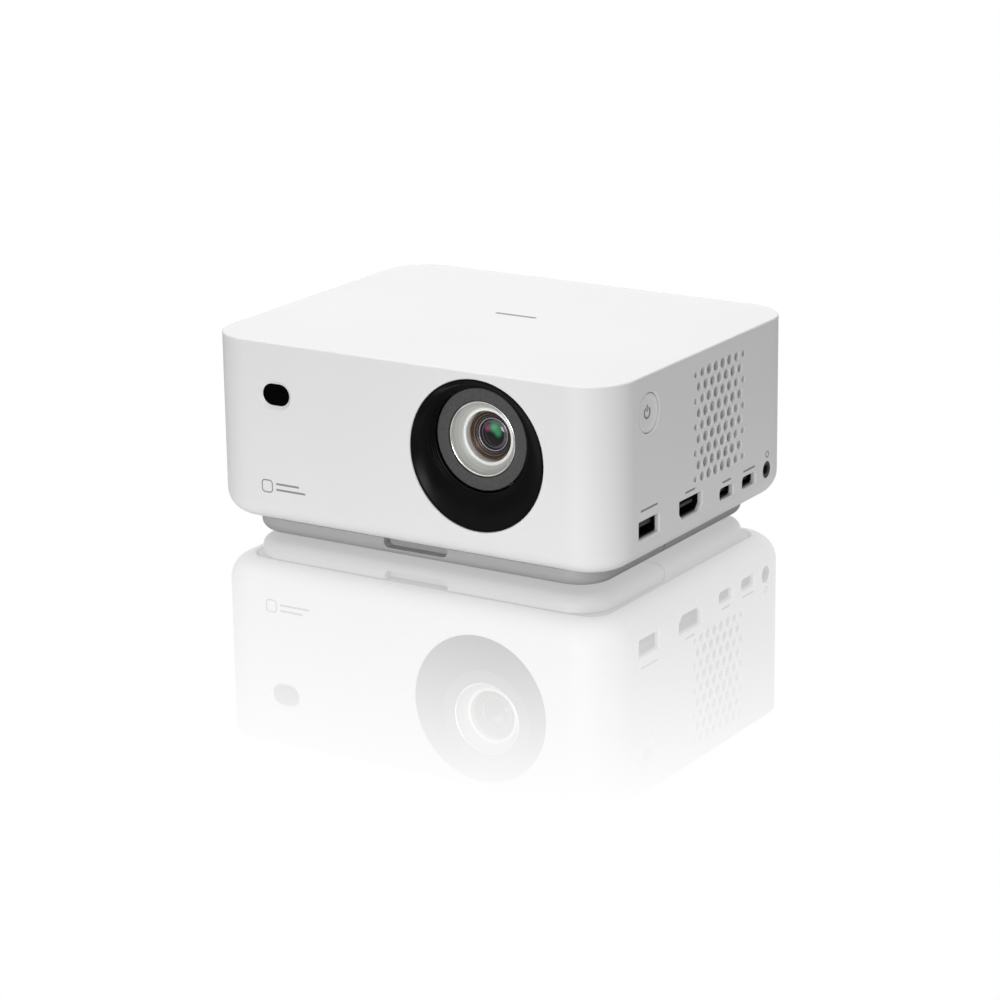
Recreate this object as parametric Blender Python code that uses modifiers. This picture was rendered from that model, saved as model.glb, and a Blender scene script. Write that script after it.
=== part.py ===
"""Small home projector: a white rounded box on a flip-down stand, with its optics, drive and electronics.

Frame: metres, +Z up, the lens looks along -Y, and the sockets are on the +X side. The origin is on the
surface that it stands on, under the middle of the body.
"""

import math

import bmesh
import bpy
from mathutils import Matrix, Vector

MM = 0.001
GAP = 0.3  # clearance between neighbouring pieces, in millimetres like every size below

# Driving dimensions
WIDTH = 164.0
DEPTH = 132.0
HEIGHT = 74.0
CORNER = 17.0
WALL = 2.0
LOWER_ROUND = 9.0  # the quarter round that tucks the casing's walls under
CASE_FOOT = 8.0  # height of the casing's underside
PLINTH_INSET = 10.4
STAND_INSET = 8.2
PLINTH_CORNER = 13.5
PLINTH_BOTTOM = 1.6
TRAY_TOP = CASE_FOOT + 2.0
PLINTH_ROUND = 3.6
FRONT = -DEPTH / 2
REAR = DEPTH / 2
SIDE = WIDTH / 2

# Lens
LENS_X = 30.5
LENS_Z = 49.9
BEZEL_Z = 45.0
BEZEL_RADIUS = 26.3
HOOD_RADIUS = 17.7
HOOD_DEPTH = 3.9
BARREL_RADIUS = 13.0
CONE_MOUTH_RADIUS = 8.8
FRONT_LENS_RADIUS = 5.1

# Focus drive
GEAR_MODULE = 0.8
RING_TEETH = 48
PINION_TEETH = 12
GEAR_DEPTHS = (14.0, 19.5)  # behind the front face
PINION_ANGLE = math.radians(225)
PINION_REACH = GEAR_MODULE * (RING_TEETH + PINION_TEETH) / 2 + 0.12

# Side controls and sockets, as (y, z) on the +X side
BUTTON_Y = -39.0
BUTTON_Z = 60.5
BUTTON_RADIUS = 7.0
BOARD_TOP = 16.8
USB_A = (-39.0, 20.8)
HDMI = (-10.2, 20.7)
USB_C_DATA = (15.5, 18.9)
USB_C_POWER = (32.0, 18.9)
JACK = (45.5, 19.6)
PORT_MOUTH = SIDE - 0.8

# Vents
VENT_FRONT_Y = -6.9
VENT_PITCH_Y = 4.85
VENT_TOP_Z = 66.2
VENT_PITCH_Z = 9.22
VENT_COLUMNS = 8
VENT_ROWS = 5

# Sensor window
WINDOW_X = -51.9
WINDOW_Z = 55.2
WINDOW_WIDTH = 14.2
WINDOW_HEIGHT = 10.4

# Flip-down stand
HINGE_Y = -13.3
HINGE_Z = 4.75
HINGE_BARREL = 2.85
HINGE_PIN = 1.2
STAND_TOP = 7.6
NOTCH_HALF = 13.2
NOTCH_FLOOR = 4.2

# Fan
FAN_X = (65.5, 76.5)
FAN_Y = 10.1
FAN_Z = 47.7
FAN_HALF = 21.0
FAN_BLADES = 7

PARTS = None
CUTTERS = None


def start():
    """Empties the file and makes the two collections."""
    global PARTS, CUTTERS
    for old in list(bpy.data.objects):
        bpy.data.objects.remove(old, do_unlink=True)
    PARTS = bpy.data.collections.new("home_projector")
    CUTTERS = bpy.data.collections.new("cutters")
    for group in (PARTS, CUTTERS):
        bpy.context.scene.collection.children.link(group)


def keep(name, bm, collection=None):
    """Turns millimetre mesh data into an object in metres."""
    bmesh.ops.scale(bm, vec=(MM, MM, MM), verts=bm.verts)
    mesh = bpy.data.meshes.new(name)
    bm.to_mesh(mesh)
    bm.free()
    made = bpy.data.objects.new(name, mesh)
    (collection or PARTS).objects.link(made)
    if collection is CUTTERS:
        made.hide_render = True
        made.display_type = "WIRE"
    return made


def finish(made, colour, roughness, metallic=0.0, smooth=True):
    """Gives a piece its own material and smooth shading with sharp edges."""
    look = bpy.data.materials.new(made.name)
    look.use_nodes = True
    shader = look.node_tree.nodes["Principled BSDF"]
    shader.inputs["Base Color"].default_value = (*colour, 1.0)
    shader.inputs["Roughness"].default_value = roughness
    shader.inputs["Metallic"].default_value = metallic
    made.data.materials.append(look)
    if smooth:
        made.data.shade_smooth()
        made.data.set_sharp_from_angle(angle=math.radians(35))
    return made


def add_box(bm, low, high):
    """A box between two corners."""
    middle = [(a + b) / 2 for a, b in zip(low, high)]
    size = [b - a for a, b in zip(low, high)]
    place = Matrix.Translation(middle) @ Matrix.Diagonal((*size, 1.0))
    return bmesh.ops.create_cube(bm, size=1.0, matrix=place)["verts"]


AXIS_TURN = {
    "x": Matrix.Rotation(math.radians(90), 4, "Y"),
    "y": Matrix.Rotation(math.radians(-90), 4, "X"),
    "z": Matrix.Identity(4),
}


def add_cylinder(bm, centre, radius, length, axis="z", segments=24, radius_end=None):
    """A cylinder or cone about its centre; a cone's radius_end is at its high end."""
    place = Matrix.Translation(centre) @ AXIS_TURN[axis]
    end = radius if radius_end is None else radius_end
    made = bmesh.ops.create_cone(
        bm, cap_ends=True, segments=segments, radius1=radius, radius2=end, depth=length, matrix=place
    )
    return made["verts"]


def box(name, low, high, bevel=0.0, segments=2, collection=None):
    """A box object, with its edges rounded if bevel is given."""
    bm = bmesh.new()
    add_box(bm, low, high)
    if bevel:
        bmesh.ops.bevel(bm, geom=bm.edges[:], offset=bevel, segments=segments, profile=0.5, affect="EDGES")
    return keep(name, bm, collection)


def cylinder(name, centre, radius, length, axis="z", segments=24, collection=None):
    bm = bmesh.new()
    add_cylinder(bm, centre, radius, length, axis, segments)
    return keep(name, bm, collection)


def edges_along_z(bm):
    return [e for e in bm.edges if abs(e.verts[0].co.z - e.verts[1].co.z) > 0.01]


def edges_at_height(bm, height):
    return [e for e in bm.edges if all(abs(v.co.z - height) < 0.01 for v in e.verts)]


def rounded_slab(
    inset, corner, low, high, lower_round=0.0, lower_steps=4, corner_steps=7, front_inset=None
):
    """A slab with the body's outline moved in by inset, round corners and an optional lower edge round."""
    front = FRONT + (inset if front_inset is None else front_inset)
    bm = bmesh.new()
    add_box(bm, (inset - SIDE, front, low), (SIDE - inset, REAR - inset, high))
    bmesh.ops.bevel(
        bm, geom=edges_along_z(bm), offset=corner, segments=corner_steps, profile=0.5, affect="EDGES"
    )
    if lower_round:
        bmesh.ops.bevel(
            bm,
            geom=edges_at_height(bm, low),
            offset=lower_round,
            segments=lower_steps,
            profile=0.5,
            affect="EDGES",
        )
    return bm


def boolean(target, tool, operation="DIFFERENCE"):
    """Cuts or joins with another object, which stays in the file as a guide."""
    step = target.modifiers.new(operation.lower(), "BOOLEAN")
    step.operation = operation
    step.solver = "EXACT"
    step.object = tool
    return target


def prism(name, outline, axis, low, high, collection=None):
    """A closed outline of (u, v) points extruded along an axis; u and v are the other two axes in order."""
    bm = bmesh.new()
    order = {"x": lambda u, v, w: (w, u, v), "y": lambda u, v, w: (u, w, v), "z": lambda u, v, w: (u, v, w)}
    face = bm.faces.new([bm.verts.new(order[axis](u, v, low)) for u, v in outline])
    swept = bmesh.ops.extrude_face_region(bm, geom=[face])
    moved = [item for item in swept["geom"] if isinstance(item, bmesh.types.BMVert)]
    bmesh.ops.translate(bm, verts=moved, vec=Vector(order[axis](0.0, 0.0, high - low)))
    bmesh.ops.recalc_face_normals(bm, faces=bm.faces[:])
    return keep(name, bm, collection)


def stadium(centre_u, centre_v, width, height, steps=6):
    """Outline of a slot with round ends, longer along u."""
    radius = height / 2
    reach = width / 2 - radius
    points = []
    for side, first in ((1, -90), (-1, 90)):
        for k in range(steps + 1):
            angle = math.radians(first + 180 * k / steps)
            points.append(
                (centre_u + side * reach + radius * math.cos(angle), centre_v + radius * math.sin(angle))
            )
    return points


def turned(name, profile, place, axis="y", segments=32, closed=True, collection=None):
    """A turned piece: (radius, distance) points swept round an axis through place by a Screw modifier.

    Distance counts along the axis from place. The points run with the metal on their left, seen with
    the axis upward, so that the outer side runs from the high end down to the low end.
    """
    bm = bmesh.new()
    points = [bm.verts.new((radius, 0.0, distance)) for radius, distance in profile]
    for first, second in zip(points, points[1:]):
        bm.edges.new((first, second))
    if closed:
        bm.edges.new((points[-1], points[0]))
    made = keep(name, bm, collection)
    turn = made.modifiers.new("turn", "SCREW")
    turn.axis = "Z"
    turn.steps = segments
    turn.render_steps = segments
    turn.use_merge_vertices = True
    turn.merge_threshold = 0.00001
    turn.use_normal_calculate = False
    made.matrix_world = Matrix.Translation(Vector(place) * MM) @ AXIS_TURN[axis]
    return made


def lens_place(distance):
    """The point on the lens axis that is a distance behind the front face."""
    return (LENS_X, FRONT + distance, LENS_Z)


def turned_lens(name, profile, segments=28, collection=None):
    """A turned piece on the lens axis, with distances counted behind the front face."""
    return turned(name, profile, lens_place(0.0), "y", segments, True, collection)


def vent_centres():
    """The (y, z) of each vent hole: rows of eight with rows of seven between them."""
    for row in range(2 * VENT_ROWS - 1):
        between = row % 2
        for column in range(VENT_COLUMNS - between):
            y = VENT_FRONT_Y + (column + between / 2) * VENT_PITCH_Y
            yield y, VENT_TOP_Z - row * VENT_PITCH_Z / 2, column, VENT_COLUMNS - between


def vent_radius(column, count, between):
    """End holes are small, the next ones middle-sized, the rest full size."""
    edge = min(column, count - 1 - column) + between
    return (1.0, 1.45, 1.8)[min(edge, 2)]


# Casing and base


SCREWS = ((-62.0, -46.0), (-62.0, 46.0), (62.0, -46.0), (62.0, 46.0))


def upper_casing():
    """Moulded shell: top, walls and the tucked-under lower edge in one, open underneath."""
    bm = rounded_slab(0.0, CORNER, CASE_FOOT, HEIGHT, LOWER_ROUND, 4)
    floor = [f for f in bm.faces if f.normal.z < -0.99 and f.calc_area() > 1000]
    bmesh.ops.delete(bm, geom=floor, context="FACES_ONLY")
    casing = keep("upper_casing", bm)
    shell = casing.modifiers.new("wall", "SOLIDIFY")
    shell.thickness = WALL * MM
    shell.offset = -1.0
    shell.use_even_offset = True

    bosses = bmesh.new()
    for x, y in SCREWS:
        add_cylinder(bosses, (x, y, (HEIGHT - 1 + 12.4) / 2), 3.4, HEIGHT - 1 - 12.4, segments=12)
    boolean(casing, keep("casing_bosses", bosses, CUTTERS), "UNION")

    holes = bmesh.new()
    for x, y in SCREWS:
        add_cylinder(holes, (x, y, 17.0), 1.45, 18.0, segments=8)
    add_cylinder(holes, (LENS_X, FRONT, BEZEL_Z), BEZEL_RADIUS + GAP, 10.0, "y", 40)
    add_cylinder(holes, (SIDE, BUTTON_Y, BUTTON_Z), BUTTON_RADIUS + GAP, 10.0, "x", 24)
    add_cylinder(holes, (SIDE, *JACK), 3.1, 10.0, "x", 16)
    for (y, z), width, height in (
        (USB_A, 13.8, 6.4),
        (HDMI, 15.6, 6.2),
        (USB_C_DATA, 9.9, 4.1),
        (USB_C_POWER, 9.9, 4.1),
    ):
        add_box(holes, (SIDE - 5, y - width / 2, z - height / 2), (SIDE + 5, y + width / 2, z + height / 2))
    for side in (-1, 1):
        for y, z, column, count in vent_centres():
            radius = vent_radius(column, count, VENT_COLUMNS - count)
            add_cylinder(holes, (side * SIDE, y, z), radius, 10.0, "x", 6)
    for k in range(7):
        z = 26.0 + 5.0 * k
        add_box(holes, (-34.0, REAR - 5, z - 0.9), (4.0, REAR + 5, z + 0.9))
    boolean(casing, keep("casing_holes", holes, CUTTERS))
    window = prism(
        "window_hole",
        stadium(WINDOW_X, WINDOW_Z, WINDOW_WIDTH, WINDOW_HEIGHT),
        "y",
        FRONT - 5,
        FRONT + 5,
        CUTTERS,
    )
    boolean(casing, window)
    return finish(casing, (0.86, 0.86, 0.86), 0.45)


def base_shape(top):
    """The plinth's whole outer form, before it is parted into the tray's rear half and the stand."""
    return rounded_slab(
        PLINTH_INSET, PLINTH_CORNER, PLINTH_BOTTOM, top, PLINTH_ROUND, 3, 6, front_inset=STAND_INSET
    )


def foot_places(y):
    return ((-44.0, y), (44.0, y))


def foot_pockets(bm, y):
    for x, _ in foot_places(y):
        add_cylinder(bm, (x, y, 0.9), 6.0 + GAP, 3.8, segments=16)


FRONT_FEET_Y = -35.0
REAR_FEET_Y = 40.0
EARS = (-55.0, 55.0)
EAR_HALF = 2.7
TRIPOD = (0.0, 8.0)


def base_tray():
    """Closes the casing from below; its rear half is the deep part of the plinth."""
    split = HINGE_Y + HINGE_BARREL + 0.6
    inset = LOWER_ROUND + 0.75
    plate = rounded_slab(inset, CORNER - LOWER_ROUND, CASE_FOOT, TRAY_TOP, corner_steps=4)
    tray = keep("base_tray", plate)
    rear = keep("tray_rear", base_shape(CASE_FOOT - 0.2), CUTTERS)
    front_half = box("tray_front_cut", (-90, -80, -5), (90, split, 20), collection=CUTTERS)
    boolean(rear, front_half)
    boolean(tray, rear, "UNION")
    core_low = (PLINTH_INSET + 2 - SIDE, split + 2.0, CASE_FOOT - 1.5)
    core_high = (SIDE - PLINTH_INSET - 2, REAR - PLINTH_INSET - 2, CASE_FOOT + 1.0)
    boolean(tray, box("tray_core", core_low, core_high, collection=CUTTERS), "UNION")

    added = bmesh.new()
    for x in EARS:
        low = (x - EAR_HALF, HINGE_Y - 2.2, HINGE_Z)
        add_box(added, low, (x + EAR_HALF, HINGE_Y + 2.2, CASE_FOOT + 1.0))
    for x, y in ((40.0, -50.0), (66.0, -20.0), (40.0, 52.0), (66.0, 30.0)):
        add_cylinder(added, (x, y, 11.7), 2.6, 5.6, segments=12)
    for x, y in SCREWS:
        add_cylinder(added, (x, y, 10.5), 4.3, 3.0, segments=12)
    boolean(tray, keep("tray_posts", added, CUTTERS), "UNION")
    rounds = bmesh.new()
    for x in EARS:
        add_cylinder(rounds, (x, HINGE_Y, HINGE_Z), 2.2, 2 * EAR_HALF, "x", 16)
    boolean(tray, keep("tray_ear_ends", rounds, CUTTERS), "UNION")

    cuts = bmesh.new()
    for x in EARS:
        add_cylinder(cuts, (x, HINGE_Y, HINGE_Z), HINGE_PIN + 0.06, 12.0, "x", 16)
    for low, high in (
        ((-52, split + 3.0), (-13, 53)),
        ((13, split + 3.0), (52, 53)),
        ((-68, split + 3.0), (-56, 36)),
        ((56, split + 3.0), (68, 36)),
    ):
        add_box(cuts, (*low, PLINTH_BOTTOM + 2.6), (*high, 14.0))
    for x, y in SCREWS:
        add_cylinder(cuts, (x, y, 8.0), 1.7, 20.0, segments=12)
    add_cylinder(cuts, (*TRIPOD, 3.0), 5.0 + GAP, 12.0, segments=16)
    boolean(tray, keep("tray_cuts", cuts, CUTTERS))
    recesses = bmesh.new()
    for x, y in SCREWS:
        top = 9.9 if y < 0 else 5.0
        add_cylinder(recesses, (x, y, top - 5.0), 3.2, 10.0, segments=12)
    foot_pockets(recesses, REAR_FEET_Y)
    boolean(tray, keep("tray_recesses", recesses, CUTTERS))
    return finish(tray, (0.62, 0.62, 0.63), 0.5)


def kickstand():
    """The plinth's front half, which swings down on two pins to tilt the projector up."""
    stand = keep("kickstand", base_shape(STAND_TOP))
    end = [
        (
            HINGE_Y + HINGE_BARREL * math.cos(math.radians(a)),
            HINGE_Z + HINGE_BARREL * math.sin(math.radians(a)),
        )
        for a in range(-90, 91, 15)
    ]
    outline = [(-70.0, HINGE_Z - HINGE_BARREL - 3.0), (HINGE_Y, HINGE_Z - HINGE_BARREL - 3.0)]
    outline += end + [(HINGE_Y, STAND_TOP + 3.0), (-70.0, STAND_TOP + 3.0)]
    boolean(stand, prism("stand_profile", outline, "x", -90.0, 90.0, CUTTERS), "INTERSECT")

    cuts = bmesh.new()
    add_box(cuts, (-68.0, -43.0, 4.2), (-2.0, HINGE_Y - 3.6, 12.0))
    add_box(cuts, (2.0, -43.0, 4.2), (68.0, HINGE_Y - 3.6, 12.0))
    add_box(cuts, (-58.0, -56.5, 4.2), (-NOTCH_HALF - 2.0, -45.0, 12.0))
    add_box(cuts, (NOTCH_HALF + 2.0, -56.5, 4.2), (58.0, -45.0, 12.0))
    for x in EARS:
        low = (x - EAR_HALF - GAP, HINGE_Y - 2.8, -5.0)
        add_box(cuts, low, (x + EAR_HALF + GAP, HINGE_Y + 5.0, 12.0))
    boolean(stand, keep("stand_cuts", cuts, CUTTERS))
    more = bmesh.new()
    add_cylinder(more, (-55.0, HINGE_Y, HINGE_Z), HINGE_PIN + 0.1, 24.0, "x", 16)
    add_cylinder(more, (55.0, HINGE_Y, HINGE_Z), HINGE_PIN + 0.1, 24.0, "x", 16)
    foot_pockets(more, FRONT_FEET_Y)
    boolean(stand, keep("stand_bores", more, CUTTERS))
    bm = bmesh.new()
    add_box(bm, (-NOTCH_HALF, FRONT, NOTCH_FLOOR), (NOTCH_HALF, -54.0, 14.0))
    lower = [e for e in bm.edges if all(v.co.z < NOTCH_FLOOR + 0.01 for v in e.verts)]
    lower = [e for e in lower if abs(e.verts[0].co.y - e.verts[1].co.y) > 0.1]
    bmesh.ops.bevel(bm, geom=lower, offset=2.5, segments=4, profile=0.5, affect="EDGES")
    boolean(stand, keep("finger_notch", bm, CUTTERS))
    return finish(stand, (0.62, 0.62, 0.63), 0.5)


def feet():
    """Soft pads let into the stand's and the tray's undersides."""
    for place, y in (("front", FRONT_FEET_Y), ("rear", REAR_FEET_Y)):
        for (x, _), side in zip(foot_places(y), ("left", "right")):
            pad = cylinder(f"foot_{place}_{side}", (x, y, 1.25), 6.0, 2.5, segments=20)
            finish(pad, (0.05, 0.05, 0.055), 0.8)


def base_fasteners():
    for x, side in ((-62.0, "left"), (62.0, "right")):
        for y, place, head in ((-46.0, "front", 9.6), (46.0, "rear", 4.7)):
            profile = ((1.1, 12.0), (1.1, 0.0), (2.7, 0.0), (2.7, -1.6), (0.0, -1.6))
            screw = turned(
                f"screw_{place}_{side}", ((0.0, 12.0), *profile), (x, y, head), "z", 12, closed=False
            )
            finish(screw, (0.3, 0.3, 0.32), 0.35, 1.0)
    for x, side in ((-55.0, "left"), (55.0, "right")):
        pin = cylinder(f"hinge_pin_{side}", (x, HINGE_Y, HINGE_Z), HINGE_PIN, 20.0, "x", 16)
        finish(pin, (0.6, 0.6, 0.6), 0.3, 1.0)
    wall = ((5.0, 5.5), (5.0, 0.0), (3.0, 0.0), (3.0, 5.5))
    insert = turned("tripod_insert", wall, (*TRIPOD, PLINTH_BOTTOM + 0.1), "z", 16)
    finish(insert, (0.75, 0.58, 0.3), 0.35, 1.0)


# Lens


def bezel_ring(bm, centre_z, radius, distance, segments=40):
    """One ring of the bezel, at a distance behind the front face."""
    ring = []
    for k in range(segments):
        angle = 2 * math.pi * k / segments
        x = LENS_X + radius * math.cos(angle)
        z = centre_z + radius * math.sin(angle)
        ring.append(bm.verts.new((x, FRONT + distance, z)))
    return ring


def lens_bezel():
    """Black dish between the round hole in the front and the lens, which sits above its middle."""
    rings = [(BEZEL_Z, BEZEL_RADIUS, 4.8), (BEZEL_Z, BEZEL_RADIUS, 0.5), (BEZEL_Z, BEZEL_RADIUS - 0.4, 0.15)]
    for k in range(1, 4):
        share = k / 3
        middle = BEZEL_Z + share * (LENS_Z - 0.75 - BEZEL_Z)
        rings.append((middle, BEZEL_RADIUS - 0.4 - share * 6.3, 0.15 + 1.65 * math.sin(share * math.pi / 2)))
    rings += [(LENS_Z - 0.4, 19.0, 2.6), (LENS_Z, 18.3, 3.6), (LENS_Z, 18.2, 7.0)]
    rings += [(LENS_Z, 20.2, 7.0), (LENS_Z - 0.5, 20.4, 4.4), (BEZEL_Z + 0.1, 25.1, 3.2), (BEZEL_Z, 25.1, 4.8)]
    bm = bmesh.new()
    loops = [bezel_ring(bm, *ring) for ring in rings]
    for first, second in zip(loops, loops[1:] + loops[:1]):
        for k in range(len(first)):
            after = (k + 1) % len(first)
            bm.faces.new((first[k], first[after], second[after], second[k]))
    bmesh.ops.recalc_face_normals(bm, faces=bm.faces[:])
    return finish(keep("lens_bezel", bm), (0.012, 0.012, 0.013), 0.12)


def lens_parts():
    """The lens, front to back, on its axis; radii first, then distances behind the front face."""
    inner = BARREL_RADIUS + GAP
    hood = turned_lens(
        "lens_hood", ((HOOD_RADIUS, 6.0), (HOOD_RADIUS, HOOD_DEPTH), (inner, HOOD_DEPTH), (inner, 6.0))
    )
    finish(hood, (0.075, 0.075, 0.075), 0.7)
    mount = turned_lens(
        "lens_mount",
        (
            (17.6, 32.0),
            (17.6, 30.0),
            (15.8, 30.0),
            (15.8, 8.0),
            (HOOD_RADIUS, 8.0),
            (HOOD_RADIUS, 6.3),
            (inner, 6.3),
            (inner, 32.0),
        ),
    )
    finish(mount, (0.03, 0.03, 0.032), 0.5)
    cone = turned_lens(
        "lens_cone",
        (
            (BARREL_RADIUS, 11.0),
            (BARREL_RADIUS, 5.2),
            (BARREL_RADIUS - 0.35, 5.0),
            (CONE_MOUTH_RADIUS, 9.4),
            (CONE_MOUTH_RADIUS, 11.0),
        ),
    )
    finish(cone, (0.42, 0.42, 0.39), 0.35)
    barrel = turned_lens(
        "lens_barrel",
        (
            (BARREL_RADIUS, 30.0),
            (BARREL_RADIUS, 11.3),
            (CONE_MOUTH_RADIUS - GAP, 11.3),
            (CONE_MOUTH_RADIUS - GAP, 10.0),
            (7.5, 10.0),
            (7.1, 10.8),
            (6.2, 10.8),
            (5.4, 11.4),
            (5.4, 14.6),
            (10.4, 14.6),
            (10.4, 30.0),
        ),
    )
    finish(barrel, (0.02, 0.02, 0.021), 0.45)
    for name, radius, edge, thick, bulge in (
        ("front_lens", FRONT_LENS_RADIUS, 12.0, 1.6, 1.1),
        ("middle_lens", 10.1, 17.5, 2.0, 1.6),
        ("rear_lens", 10.1, 25.0, 2.0, 1.6),
    ):
        finish(lens_disc(name, radius, edge, thick, bulge), (0.75, 0.85, 0.8), 0.03)


def lens_disc(name, radius, edge, thick, bulge, steps=3):
    """A glass element, domed on both faces, with its rim from edge to edge + thick."""
    curve = [math.sin(k / steps * math.pi / 2) for k in range(steps + 1)]
    drop = [1 - math.sqrt(1 - 0.75 * s * s) for s in curve]
    back = [(radius * s, edge + thick + bulge * 0.6 * (1 - d / drop[-1])) for s, d in zip(curve, drop)]
    front = [(radius * s, edge - bulge * (1 - d / drop[-1])) for s, d in zip(curve, drop)]
    return turned(name, back + front[::-1], lens_place(0.0), "y", 20, closed=False)


def gear_outline(teeth, phase):
    """Points of a spur gear's edge, with flanks drawn in a little for backlash."""
    pitch = GEAR_MODULE * teeth / 2
    step = 2 * math.pi / teeth
    flank = ((pitch - 1.1 * GEAR_MODULE, 0.30), (pitch, 0.215), (pitch + 0.8 * GEAR_MODULE, 0.10))
    points = []
    for tooth in range(teeth):
        middle = phase + tooth * step
        points += [(radius, middle - share * step) for radius, share in flank]
        points += [(radius, middle + share * step) for radius, share in reversed(flank)]
    return points


def gear(name, teeth, phase, centre, bore_radius, depths, bore_segments=24):
    bm = bmesh.new()
    x, z = centre
    rim = [
        (x + radius * math.cos(angle), z + radius * math.sin(angle))
        for radius, angle in gear_outline(teeth, phase)
    ]
    bm.free()
    made = prism(name, rim, "y", FRONT + depths[0], FRONT + depths[1])
    length = depths[1] - depths[0] + 4
    middle = (x, FRONT + sum(depths) / 2, z)
    boolean(made, cylinder(name + "_bore", middle, bore_radius, length, "y", bore_segments, CUTTERS))
    return made


def focus_drive():
    """A toothed ring round the lens mount, turned by a small motor's pinion."""
    ring_phase = PINION_ANGLE
    pinion_phase = PINION_ANGLE + math.pi + math.pi / PINION_TEETH
    ring = gear("focus_ring", RING_TEETH, ring_phase, (LENS_X, LENS_Z), 16.2, GEAR_DEPTHS, 32)
    finish(ring, (0.5, 0.5, 0.48), 0.5)
    x = LENS_X + PINION_REACH * math.cos(PINION_ANGLE)
    z = LENS_Z + PINION_REACH * math.sin(PINION_ANGLE)
    depths = (GEAR_DEPTHS[0] - 0.5, GEAR_DEPTHS[1] + 0.5)
    pinion = gear("focus_pinion", PINION_TEETH, pinion_phase, (x, z), 1.35, depths, 12)
    finish(pinion, (0.75, 0.6, 0.3), 0.35, 1.0)
    motor = turned(
        "focus_motor",
        ((6.0, 31.8), (6.0, 21.0), (2.5, 21.0), (2.5, 20.3), (1.0, 20.3), (1.0, 13.0), (0.0, 13.0)),
        (x, FRONT, z),
        "y",
        20,
        closed=False,
    )
    close_turned(motor, 31.8)
    finish(motor, (0.55, 0.55, 0.56), 0.35, 1.0)


def close_turned(made, end):
    """Adds the point on the axis that closes a turned profile at its far end."""
    bm = bmesh.new()
    bm.from_mesh(made.data)
    first = max(bm.verts, key=lambda v: (v.co.z, v.co.x))
    bm.edges.new((bm.verts.new((0.0, 0.0, end * MM)), first))
    bm.to_mesh(made.data)
    bm.free()


# Side controls and sockets


def power_button():
    """Round cap with a shallow dish, a collar that stops it falling out, and a stem for its switch."""
    outer = SIDE - 0.1
    profile = (
        (0.0, -0.6),
        (4.6, -0.35),
        (6.6, 0.0),
        (BUTTON_RADIUS, -0.4),
        (BUTTON_RADIUS, -2.3),
        (8.4, -2.3),
        (8.4, -3.6),
        (1.6, -3.6),
        (1.6, -8.6),
        (0.0, -8.6),
    )
    place = (outer, BUTTON_Y, BUTTON_Z)
    button = turned("power_button", profile, place, "x", 24, closed=False)
    finish(button, (0.8, 0.8, 0.8), 0.4)
    board_x = 68.0
    board = box(
        "button_board",
        (board_x, BUTTON_Y - 8, BUTTON_Z - 8),
        (board_x + 1.2, BUTTON_Y + 8, BUTTON_Z + 8),
    )
    finish(board, (0.02, 0.16, 0.07), 0.45)
    switch = box(
        "tact_switch",
        (board_x + 1.5, BUTTON_Y - 3, BUTTON_Z - 3),
        (outer - 9.6, BUTTON_Y + 3, BUTTON_Z + 3),
        0.4,
        1,
    )
    finish(switch, (0.03, 0.03, 0.03), 0.5)


def socket(name, place, outer, inner, tongue, depth=9.0, length=13.0, chamfer=0.0):
    """A metal-shelled socket with its contact tongue; outer, inner and tongue are (width, height)."""
    y, z = place

    def rectangle(size, drop=0.0, corner=0.0):
        half, up = size[0] / 2, size[1] / 2
        points = [(y - half, z + up - drop), (y + half, z + up - drop)]
        points = points[::-1]
        if corner:
            points += [(y - half, z - drop), (y - half + corner, z - up - drop)]
            points += [(y + half - corner, z - up - drop), (y + half, z - drop)]
        else:
            points += [(y - half, z - up - drop), (y + half, z - up - drop)]
        return points

    shell = prism(name, rectangle(outer, corner=chamfer), "x", PORT_MOUTH - length, PORT_MOUTH)
    hollow = prism(
        name + "_hollow", rectangle(inner, corner=chamfer * 0.9), "x", PORT_MOUTH - depth, 90.0, CUTTERS
    )
    boolean(shell, hollow)
    leaf = prism(
        name + "_tongue", rectangle(tongue), "x", PORT_MOUTH - depth - 1.0, PORT_MOUTH - 1.4, CUTTERS
    )
    boolean(shell, leaf, "UNION")
    return finish(shell, (0.6, 0.6, 0.6), 0.3, 1.0, smooth=False)


def sockets():
    socket("usb_a_socket", USB_A, (13.2, 5.8), (12.4, 5.0), (11.2, 1.7))
    socket("hdmi_socket", HDMI, (15.0, 5.6), (14.0, 4.6), (11.8, 1.3), chamfer=2.0)
    for name, (y, z) in (("usb_c_socket", USB_C_DATA), ("usb_c_power_socket", USB_C_POWER)):
        port = prism(name, stadium(y, z, 9.0, 3.3), "x", PORT_MOUTH - 8, PORT_MOUTH)
        hollow = prism(name + "_hollow", stadium(y, z, 8.3, 2.6), "x", PORT_MOUTH - 6.5, 90.0, CUTTERS)
        boolean(port, hollow)
        tongue = box(
            name + "_tongue",
            (PORT_MOUTH - 7.0, y - 3.3, z - 0.35),
            (PORT_MOUTH - 0.8, y + 3.3, z + 0.35),
            collection=CUTTERS,
        )
        boolean(port, tongue, "UNION")
        finish(port, (0.6, 0.6, 0.6), 0.3, 1.0, smooth=False)
    y, z = JACK
    jack = box("audio_jack", (PORT_MOUTH - 13, y - 3.0, z - 2.4), (PORT_MOUTH - 2.0, y + 3.0, z + 3.0))
    nose = cylinder("jack_nose", (PORT_MOUTH - 2.0, y, z), 2.75, 4.0, "x", 20, CUTTERS)
    boolean(jack, nose, "UNION")
    boolean(jack, cylinder("jack_bore", (PORT_MOUTH - 4.0, y, z), 1.8, 14.0, "x", 20, CUTTERS))
    finish(jack, (0.02, 0.02, 0.02), 0.4)


# Sensor window


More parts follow.
